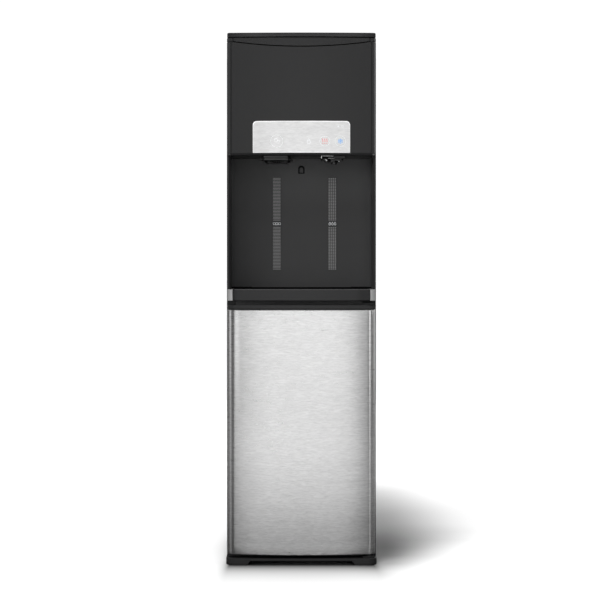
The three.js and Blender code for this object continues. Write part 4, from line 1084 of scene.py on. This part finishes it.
# a six armed snowflake on the cold key
parts = []
for k in range(6):
    a = radians(90 + 60 * k)
    c = (80.8, 881.5)
    tip = (c[0] + 5.5 * cos(a), c[1] + 5.5 * sin(a))
    parts.append(stroke([c, tip], 0.8, plate_y, 0.2))
    m = (c[0] + 3.1 * cos(a), c[1] + 3.1 * sin(a))
    for d in (-50, 50):
        parts.append(stroke([m, (m[0] + 2.3 * cos(a + radians(d)), m[1] + 2.3 * sin(a + radians(d)))], 0.75, plate_y, 0.21))
v, f = join(*parts)
make("cold_mark", v, f, "ink_blue", "cold_key", sharp=30)
# small padlock beside the hot key, and two lamps near the corner
lock = [stroke(round_rect(12.0, 876.4, 18.4, 881.8, 0.8, 0.8, 3), 0.8, plate_y, 0.06, closed=True),
        stroke([(13.2, 882.2)] + [(15.2 - 2.0 * cos(radians(a)), 883.6 + 2.2 * sin(radians(a))) for a in range(0, 181, 15)] + [(17.2, 882.2)], 0.8, plate_y, 0.06)]
v, f = join(*lock)
make("lock_mark", v, f, "ink_grey", "cabinet", sharp=30)
lamps = [patch([(76.5, 914.2), (78.7, 910.6), (74.3, 910.6)], plate_y, 0.06), stroke(circle(85.2, 912.2, 1.8, 24), 0.8, plate_y, 0.06, closed=True)]
v, f = join(*lamps)
make("lamp_marks", v, f, "ink_grey", "cabinet", sharp=30)

# ------------------------------------------------------------------ night light: a near-black ring as painted shade in the recess round its lens, and the lens
flat = lambda x_: -62.0
outer = round_rect(-6.7, 820.4, 6.7, 837.6, 6.5, 1.2, 12)
inner = round_rect(-4.0, 822.6, 4.0, 833.8, 3.9, 1.0, 12)
v, f = filled(outer, [inner], flat, 3.0, 0.02, 0.9)
make("night_light_shadow_ring", v, f, "void_black", "cabinet", ("night_light_lens",), bevel=0.2)
v, f = filled(round_rect(-3.9, 822.75, 3.9, 833.65, 3.8, 0.9, 12), [], flat, 2.0, -0.25, 0.8)
make("night_light_cover", v, f, "lens_smoke", "cabinet", bevel=0.35, segs=3)

# ------------------------------------------------------------------ ice chute: face plate, flanks, ribs, the mouth's rim, and near-black plates as painted shade in its mouth
v, f = box(-78.4, -186.0, 848.0, -28.8, -184.0, 851.9)
make("chute_face", v, f, "chute_grey", "cabinet", bevel=0.5, segs=3)
v, f = prism([(-79.4, -184.2), (-27.8, -184.2), (-20.4, -150.2), (-82.4, -150.2)], 846.3, 851.9)
make("chute_body", v, f, "deep_black", "cabinet", bevel=0.5, segs=3)
# painted highlight: the lip is a lighter grey than the black round it
v, f = join(box(-77.6, -183.0, 844.1, -28.6, -149.8, 846.3))
make("chute_lip", v, f, "lip_highlight_grey", "cabinet", bevel=0.5, segs=3)
# painted shade: a near-black plate across the chute's mouth
v, f = prism([(-68.2, 842.9), (-35.6, 842.9), (-39.0, 841.0), (-46.8, 838.7), (-57.5, 838.7), (-65.2, 841.0)], -150.1, -149.2, "y")
make("chute_mouth_shadow", v, f, "void_black", "cabinet", sharp=30)
parts = []
for k in range(7):
    x = -63.4 + 22.6 * k / 6
    d = 1.7 * abs(k - 3) / 3
    parts.append(box(x - 0.6, -151.0, 839.1 + d, x + 0.6, -150.2, 842.6))
v, f = join(*parts)
make("chute_ribs", v, f, "dark_plastic", "cabinet", bevel=0.15)
# painted shade: near-black wedges at the mouth's ends
parts = []
for lo, hi, w in ((-77.4, -70.4, 3.4), (-29.8, -22.8, -3.4)):
    m = (lo + hi) / 2
    parts.append(prism([(lo, 842.9), (hi, 842.9), (hi - max(w, 0) * 0.3, 839.4), (lo + 1.0 - min(w, 0) * 0.3, 839.4)], -150.1, -149.0, "y"))
v, f = join(*parts)
make("chute_cheek_shadows", v, f, "void_black", "cabinet", sharp=30)
# ------------------------------------------------------------------ outlet: black shells, with pale tubes along their edges as painted highlights
v, f = box(42.2, -187.0, 847.3, 68.2, -160.6, 851.9)
make("nozzle_hood", v, f, "void_black", "cabinet", bevel=0.4, segs=2)
v, f = join(box(66.0, -184.0, 847.0, 91.0, -161.0, 851.9), box(59.0, -181.5, 845.2, 84.0, -163.0, 847.4))
make("nozzle_back", v, f, "dark_plastic", "cabinet", bevel=0.8, segs=3)
v, f = join(box(51.0, -176.0, 840.4, 61.5, -161.2, 845.6), box(69.6, -176.0, 839.4, 77.0, -161.2, 842.2))
make("nozzle_tip", v, f, "void_black", "cabinet", bevel=0.4, segs=2)
v, f = box(60.6, -175.0, 842.0, 80.5, -161.2, 845.6)
make("nozzle_collar", v, f, "chute_grey", "cabinet", bevel=0.6, segs=3)
# painted highlights: pale tubes along the outlet's edges
v, f = join(tube([(41.7, -187.2, 846.4), (41.7, -187.2, 851.0)], 0.85, 8), tube([(41.7, -187.2, 851.2), (66.5, -187.2, 851.2)], 0.45, 8),
            tube([(56.0, -182.0, 846.9), (69.0, -182.0, 846.9)], 0.45, 8),
            tube([(51.4, -176.2, 845.2), (51.0, -176.2, 843.2)], 0.8, 8), tube([(52.0, -176.2, 843.6), (53.6, -176.2, 842.6)], 0.9, 8), tube([(51.2, -176.2, 842.0), (51.2, -176.2, 840.8)], 0.55, 8),
            tube([(77.6, -176.0, 841.4), (78.4, -176.0, 839.6)], 0.55, 8))
make("nozzle_edge_glints", v, f, "edge_glint_grey", "cabinet", sharp=60)

# ------------------------------------------------------------------ alcove: coved corners, near-black strips as painted shadow at the wall's foot, and the tray's rim as a painted highlight
for s_, n in ((-1, "left"), (1, "right")):
    pts = [(s_ * (150.3 - 44.0 * (1 - cos(pi / 2 * i / 14))), -62.25 - 13.5 * (1 - sin(pi / 2 * i / 14))) for i in range(15)]
    ring = pts + [(s_ * 150.3, -62.25)]
    v, f = prism(ring, 577.0, 851.6)
    make("alcove_cove_" + n, v, f, "alcove_black", "cabinet", sharp=40)
    # painted shadow: a near-black strip where the cove meets the drip tray
    v, f = prism(ring, 573.7, 577.6)
    make("alcove_shadow_strip_" + n, v, f, "void_black", "cabinet", sharp=40)
# painted shadow: the same near-black strip along the back wall's foot
v, f = box(-107.0, -63.0, 573.7, 107.0, -62.1, 576.6)
make("alcove_shadow_strip", v, f, "void_black", "cabinet", sharp=40)
# painted highlight: a lighter rim along the tray's front top edge
v, f = tube([(x, crown_y(x) + 0.95, 573.0) for x in range(-140, 141, 7)], 0.9, 8)
make("drip_tray_rim_highlight", v, f, "rim_highlight_grey", "drip_tray", sharp=60)

# ------------------------------------------------------------------ the back: louvre hoods, condenser wires, screws, a bare plate
parts = []
for i in range(9):
    zt = 907.0 + 15.0 * i
    for x0, x1 in ((-123.0, -21.0), (21.0, 123.0)):
        parts.append(prism([(166.6, zt + 2.8), (168.8, zt + 0.9), (169.6, zt - 1.2), (168.9, zt - 1.4), (168.1, zt + 0.2), (166.6, zt + 1.6)], x0, x1, "x"))
        for xe in (x0, x1 - 0.7):
            parts.append(prism([(166.6, zt + 2.8), (168.8, zt + 0.9), (169.6, zt - 1.2), (166.6, zt - 1.4)], xe, xe + 0.7, "x"))
v, f = join(*parts)
make("louvre_hoods", v, f, "painted_sheet", "cabinet", sharp=30)
parts = []
for k in range(13):
    x = -84.0 + 14.0 * k
    for y in (196.4, 190.6):
        parts.append(tube([(x, y, 146.0), (x, y, 733.0)], 0.75, 8))
v, f = join(*parts)
make("condenser_wires", v, f, "black_wire", "cabinet", sharp=60)
heads, slot_shadows = [], []
spots = [(s_ * 148.5, z) for s_ in (-1, 1) for z in (34.0, 250.0, 470.0, 690.0, 870.0, 1044.0)] + [(0.0, 34.0), (0.0, 1044.0), (-60.0, 796.0), (0.0, 870.0)]
for x, z in spots:
    heads.append(lathe([(3.6, 166.7), (3.6, 167.5), (3.0, 168.2), (1.6, 168.7), (0.0, 168.8)], (x, z), "y", 20))
    # painted shade: near-black bars stand for the cross recess in each head
    slot_shadows.append(box(x - 1.7, 168.3, z - 0.3, x + 1.7, 168.95, z + 0.3))
    slot_shadows.append(box(x - 0.3, 168.3, z - 1.7, x + 0.3, 168.95, z + 1.7))
v, f = join(*heads)
make("rear_screws", v, f, "screw_black", "cabinet", sharp=40)
v, f = join(*slot_shadows)
make("rear_screw_slot_shadows", v, f, "void_black", "cabinet", sharp=30)
v, f = box(52.0, 166.6, 792.0, 128.0, 167.15, 842.0)
make("rating_plate", v, f, "plate_pale", "cabinet", bevel=0.2)

# ------------------------------------------------------------------ alcove strips
for n, x0, kind in (("ice_strip", -61.3, "lines"), ("water_strip", 58.2, "dots")):
    dress(n, "strip_ground", bevel=0.15)
    x1, y = x0 + 17.0, -62.25
    parts = []
    if kind == "lines":
        z = 614.6
        while z < 810.0:
            if not 705.5 < z < 718.5:
                parts.append(box(x0 + 0.4, y - 0.05, z, x1 - 0.4, y + 0.1, z + 1.15))
            z += 3.1
    else:
        for j in range(60):
            z = 614.4 + j * 3.3
            if 705.5 < z < 718.0 or z > 810.0:
                continue
            for i in range(4):
                x = x0 + 0.1 + i * 4.4
                parts.append(box(x, y - 0.05, z, x + 3.0, y + 0.1, z + 2.0))
    v, f = join(*parts)
    make(n + "_print", v, f, "strip_print", "cabinet", sharp=30)
    flat = lambda x_, y_=y: y_
    cx, cz = x0 + 8.5, 712.9
    if kind == "lines":
        parts = []
        for k in (-5.6, 0.0, 5.6):
            s = 2.2
            parts.append(stroke([(cx + k - s, cz - s), (cx + k + s, cz - s), (cx + k + s, cz + s), (cx + k - s, cz + s)], 0.6, flat, 0.08, closed=True))
    else:
        parts = []
        for k in (-5.6, 0.0, 5.6):
            drop = [(cx + k + 2.0 * cos(radians(a)), cz - 0.8 + 2.0 * sin(radians(a))) for a in range(150, 391, 20)] + [(cx + k, cz + 3.6)]
            parts.append(stroke(drop, 0.75, flat, 0.08, closed=True))
    v, f = join(*parts)
    make(n + "_sign", v, f, "ink_grey", "cabinet", sharp=30)

# ------------------------------------------------------------------ stage, light and camera
scene = bpy.context.scene
scene.view_settings.view_transform = "Standard"
scene.view_settings.look = "None"
scene.view_settings.exposure = 0.0
scene.view_settings.gamma = 1.0

world = bpy.data.worlds.new("studio")
scene.world = world
world.use_nodes = True
wt = world.node_tree
bg = wt.nodes["Background"]
bg.inputs["Strength"].default_value = 1.0
wc = wt.nodes.new("ShaderNodeTexCoord")
wsep = wt.nodes.new("ShaderNodeSeparateXYZ")
wr = wt.nodes.new("ShaderNodeMapRange")
wr.inputs["From Min"].default_value = 0.0
wr.inputs["From Max"].default_value = 1.0
wr.inputs["To Min"].default_value = 0.13
wr.inputs["To Max"].default_value = 0.30
wt.links.new(wc.outputs["Generated"], wsep.inputs[0])
wt.links.new(wsep.outputs[2], wr.inputs["Value"])
wt.links.new(wr.outputs["Result"], bg.inputs["Color"])
white = wt.nodes.new("ShaderNodeBackground")
white.inputs["Color"].default_value = (1, 1, 1, 1)
white.inputs["Strength"].default_value = 1.05
lp = wt.nodes.new("ShaderNodeLightPath")
mx = wt.nodes.new("ShaderNodeMixShader")
wt.links.new(lp.outputs["Is Camera Ray"], mx.inputs["Fac"])
wt.links.new(bg.outputs[0], mx.inputs[1])
wt.links.new(white.outputs[0], mx.inputs[2])
wt.links.new(mx.outputs[0], wt.nodes["World Output"].inputs["Surface"])


def floor_plane():
    """A pale floor with a painted contact shade close round the base and a painted cast shadow off to the right and
    behind it; where it is only seen reflected or in bounced light it is darker, near the base and off to the sides, as
    painted shade for the door's reflection.
    """
    me = bpy.data.meshes.new("floor")
    me.from_pydata([(-60, -60, -0.0003), (60, -60, -0.0003), (60, 60, -0.0003), (-60, 60, -0.0003)], [], [(0, 1, 2, 3)])
    o = bpy.data.objects.new("floor", me)
    COLL.objects.link(o)
    t = Tree("floor")
    t.coord = t.node("ShaderNodeTexCoord")
    sep = t.node("ShaderNodeSeparateXYZ")
    t.link(t.coord.outputs["Object"], sep.inputs[0])
    dx = t.math("MAXIMUM", t.math("SUBTRACT", t.math("ABSOLUTE", sep.outputs[0]), 0.150), 0.0)
    dy = t.math("MAXIMUM", t.math("SUBTRACT", t.math("ABSOLUTE", t.math("ADD", sep.outputs[1], 0.015)), 0.180), 0.0)
    d = t.math("SQRT", t.math("ADD", t.math("MULTIPLY", dx, dx), t.math("MULTIPLY", dy, dy)))
    ex, ey = t.math("DIVIDE", dx, t.span(sep.outputs[0], -0.01, 0.01, 0.012, 0.018)), t.math("DIVIDE", dy, t.span(sep.outputs[1], -0.19, -0.18, 0.105, 0.068))
    near = t.math("EXPONENT", t.math("MULTIPLY", t.math("SQRT", t.math("ADD", t.math("MULTIPLY", ex, ex), t.math("MULTIPLY", ey, ey))), -1.0))
    amount = t.span(sep.outputs[1], -0.19, -0.13, 0.95, 0.70)
    # painted cast shadow: a soft shade off to the right of the base and behind it
    off = t.math("MAXIMUM", t.math("SUBTRACT", sep.outputs[0], 0.150), 0.0)
    back = t.span(sep.outputs[1], -0.4, 1.4, 0.0, 1.0)
    deep = t.ramp(back, [(p, (g, g, g, 1)) for p, g in ((0.0, 0.0), (0.018, 0.03), (0.07, 0.21), (0.125, 0.70), (0.183, 0.87), (0.244, 0.88), (0.308, 0.80), (0.376, 0.68), (0.449, 0.60), (0.525, 0.54), (0.608, 0.52), (0.689, 0.50), (0.789, 0.40), (0.889, 0.17), (1.0, 0.0))])
    wide = t.ramp(back, [(p, (g, g, g, 1)) for p, g in ((0.0, 0.10), (0.07, 0.112), (0.125, 0.145), (0.183, 0.198), (0.244, 0.245), (0.308, 0.295), (0.376, 0.305), (0.449, 0.27), (0.789, 0.245), (1.0, 0.235))])
    cast = t.node("ShaderNodeMapRange")
    cast.interpolation_type = "SMOOTHSTEP"
    for k, val in (("From Min", 0.0), ("From Max", 1.0), ("To Min", 1.0), ("To Max", 0.0)):
        cast.inputs[k].default_value = val
    t.link(t.math("DIVIDE", off, wide), cast.inputs["Value"])
    ease = t.math("SUBTRACT", 1.0, t.math("MULTIPLY", t.math("EXPONENT", t.math("MULTIPLY", off, -50.0)), 0.64))
    start = t.span(sep.outputs[1], -0.19, 0.15, 0.10, -0.16)
    right = t.node("ShaderNodeMapRange")
    right.interpolation_type = "SMOOTHSTEP"
    t.link(t.math("DIVIDE", t.math("SUBTRACT", sep.outputs[0], start), t.math("SUBTRACT", 0.155, start)), right.inputs["Value"])
    cast = t.math("MULTIPLY", t.math("MULTIPLY", cast.outputs["Result"], t.math("MULTIPLY", deep, ease)), right.outputs["Result"])
    seen = t.math("MULTIPLY", t.math("MULTIPLY", t.math("SUBTRACT", 1.0, t.math("MULTIPLY", near, amount)), t.math("SUBTRACT", 1.0, cast)), 0.92)
    # painted shade for rays other than the camera's: darker near the base and to the sides
    path = t.node("ShaderNodeLightPath")
    far = t.node("ShaderNodeMapRange")
    far.interpolation_type = "SMOOTHSTEP"
    for k, val in (("From Min", 0.10), ("From Max", 1.05), ("To Min", FLOOR_NEAR), ("To Max", FLOOR_FAR)):
        far.inputs[k].default_value = val
    t.link(d, far.inputs["Value"])
    turn = t.math("ABSOLUTE", t.math("ADD", t.math("ARCTAN2", sep.outputs[0], t.math("MULTIPLY", sep.outputs[1], -1.0)), radians(2)))
    side = t.node("ShaderNodeMapRange")
    side.interpolation_type = "SMOOTHSTEP"
    for k, val in (("From Min", radians(18)), ("From Max", radians(26)), ("To Min", 1.0), ("To Max", FLOOR_SIDE)):
        side.inputs[k].default_value = val
    t.link(turn, side.inputs["Value"])
    reflected_floor_shade = t.math("MULTIPLY", far.outputs["Result"], side.outputs["Result"])
    mix = t.math("ADD", t.math("MULTIPLY", seen, path.outputs["Is Camera Ray"]), t.math("MULTIPLY", t.math("SUBTRACT", 1.0, path.outputs["Is Camera Ray"]), reflected_floor_shade))
    col = t.node("ShaderNodeCombineColor")
    for k in range(3):
        t.link(mix, col.inputs[k])
    t.link(col.outputs[0], t.b.inputs["Base Color"])
    t.set(Roughness=0.9)
    t.b.inputs["Specular IOR Level"].default_value = 0.0
    me.materials.append(t.mat)
    o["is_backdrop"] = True
    return o


FLOOR_NEAR, FLOOR_FAR, FLOOR_SIDE = 0.035, 0.97, 0.22
floor_plane()


def sun(name, elev, azim, strength, angle):
    """azim 0 comes from the front (-Y), positive from the right."""
    l = bpy.data.lights.new(name, "SUN")
    l.energy = strength
    l.angle = radians(angle)
    o = bpy.data.objects.new(name, l)
    COLL.objects.link(o)
    d = Vector((sin(radians(azim)) * cos(radians(elev)), -cos(radians(azim)) * cos(radians(elev)), sin(radians(elev))))
    o.rotation_euler = d.to_track_quat("Z", "Y").to_euler()
    o.visible_glossy = False
    return o


def area(name, loc, target, w, h, radiance):
    l = bpy.data.lights.new(name, "AREA")
    l.shape = "RECTANGLE"
    l.size, l.size_y = w, h
    l.energy = radiance * pi * w * h
    o = bpy.data.objects.new(name, l)
    COLL.objects.link(o)
    o.location = loc
    o.rotation_euler = (Vector(loc) - Vector(target)).to_track_quat("Z", "Y").to_euler()
    return o


def around(name, azim, dist, z, w, h, radiance, dz=0.0):
    """A soft box round the object: azim 0 is in front, positive to the right; it faces the object."""
    a = radians(azim)
    return area(name, (dist * sin(a), -dist * cos(a), z), (0, 0, z - dz), w, h, radiance)


sun("key", 56, -13, 3.0, 30)
sun("front_low", 10, -42, 0.36, 20)
sun("fill_right", 6, 52, 0.44, 26)
sun("fill_left", 4, -64, 1.6, 26)
around("front_box", -1.2, 4.3, 1.8, 3.72, 3.6, 0.945)
around("left_strip", -74, 3.0, 1.0, 1.5, 2.4, 0.54)
around("right_strip", 39.5, 3.6, 0.9, 1.05, 2.4, 1.15)
around("right_far", 112, 3.4, 1.0, 1.6, 2.4, 0.30)
around("right_head", 76, 2.4, 1.45, 0.6, 0.8, 3.2)
around("back_fill", 160, 4.2, 1.8, 3.0, 2.6, 1.9)
around("back_left", -145, 3.8, 1.5, 1.6, 2.4, 1.3)

cam = bpy.data.cameras.new("camera")
cam.sensor_width = 36.0
cam.lens = 1831.77 * 36.0 / 600.0
cam.shift_x = 0.0
cam.shift_y = -19.29 / 600.0
cam.clip_end = 200.0
co = bpy.data.objects.new("camera", cam)
COLL.objects.link(co)
co.location = (-0.003, -4.0, 0.6317)
co.rotation_euler = (radians(90 - 0.6), 0, 0)
scene.camera = co

def plain(b):
    return [[float(c) for c in p] if hasattr(p, "__len__") else float(p) for p in b]


{"cad": plain(CAD_BOX), "visual": plain(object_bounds())}
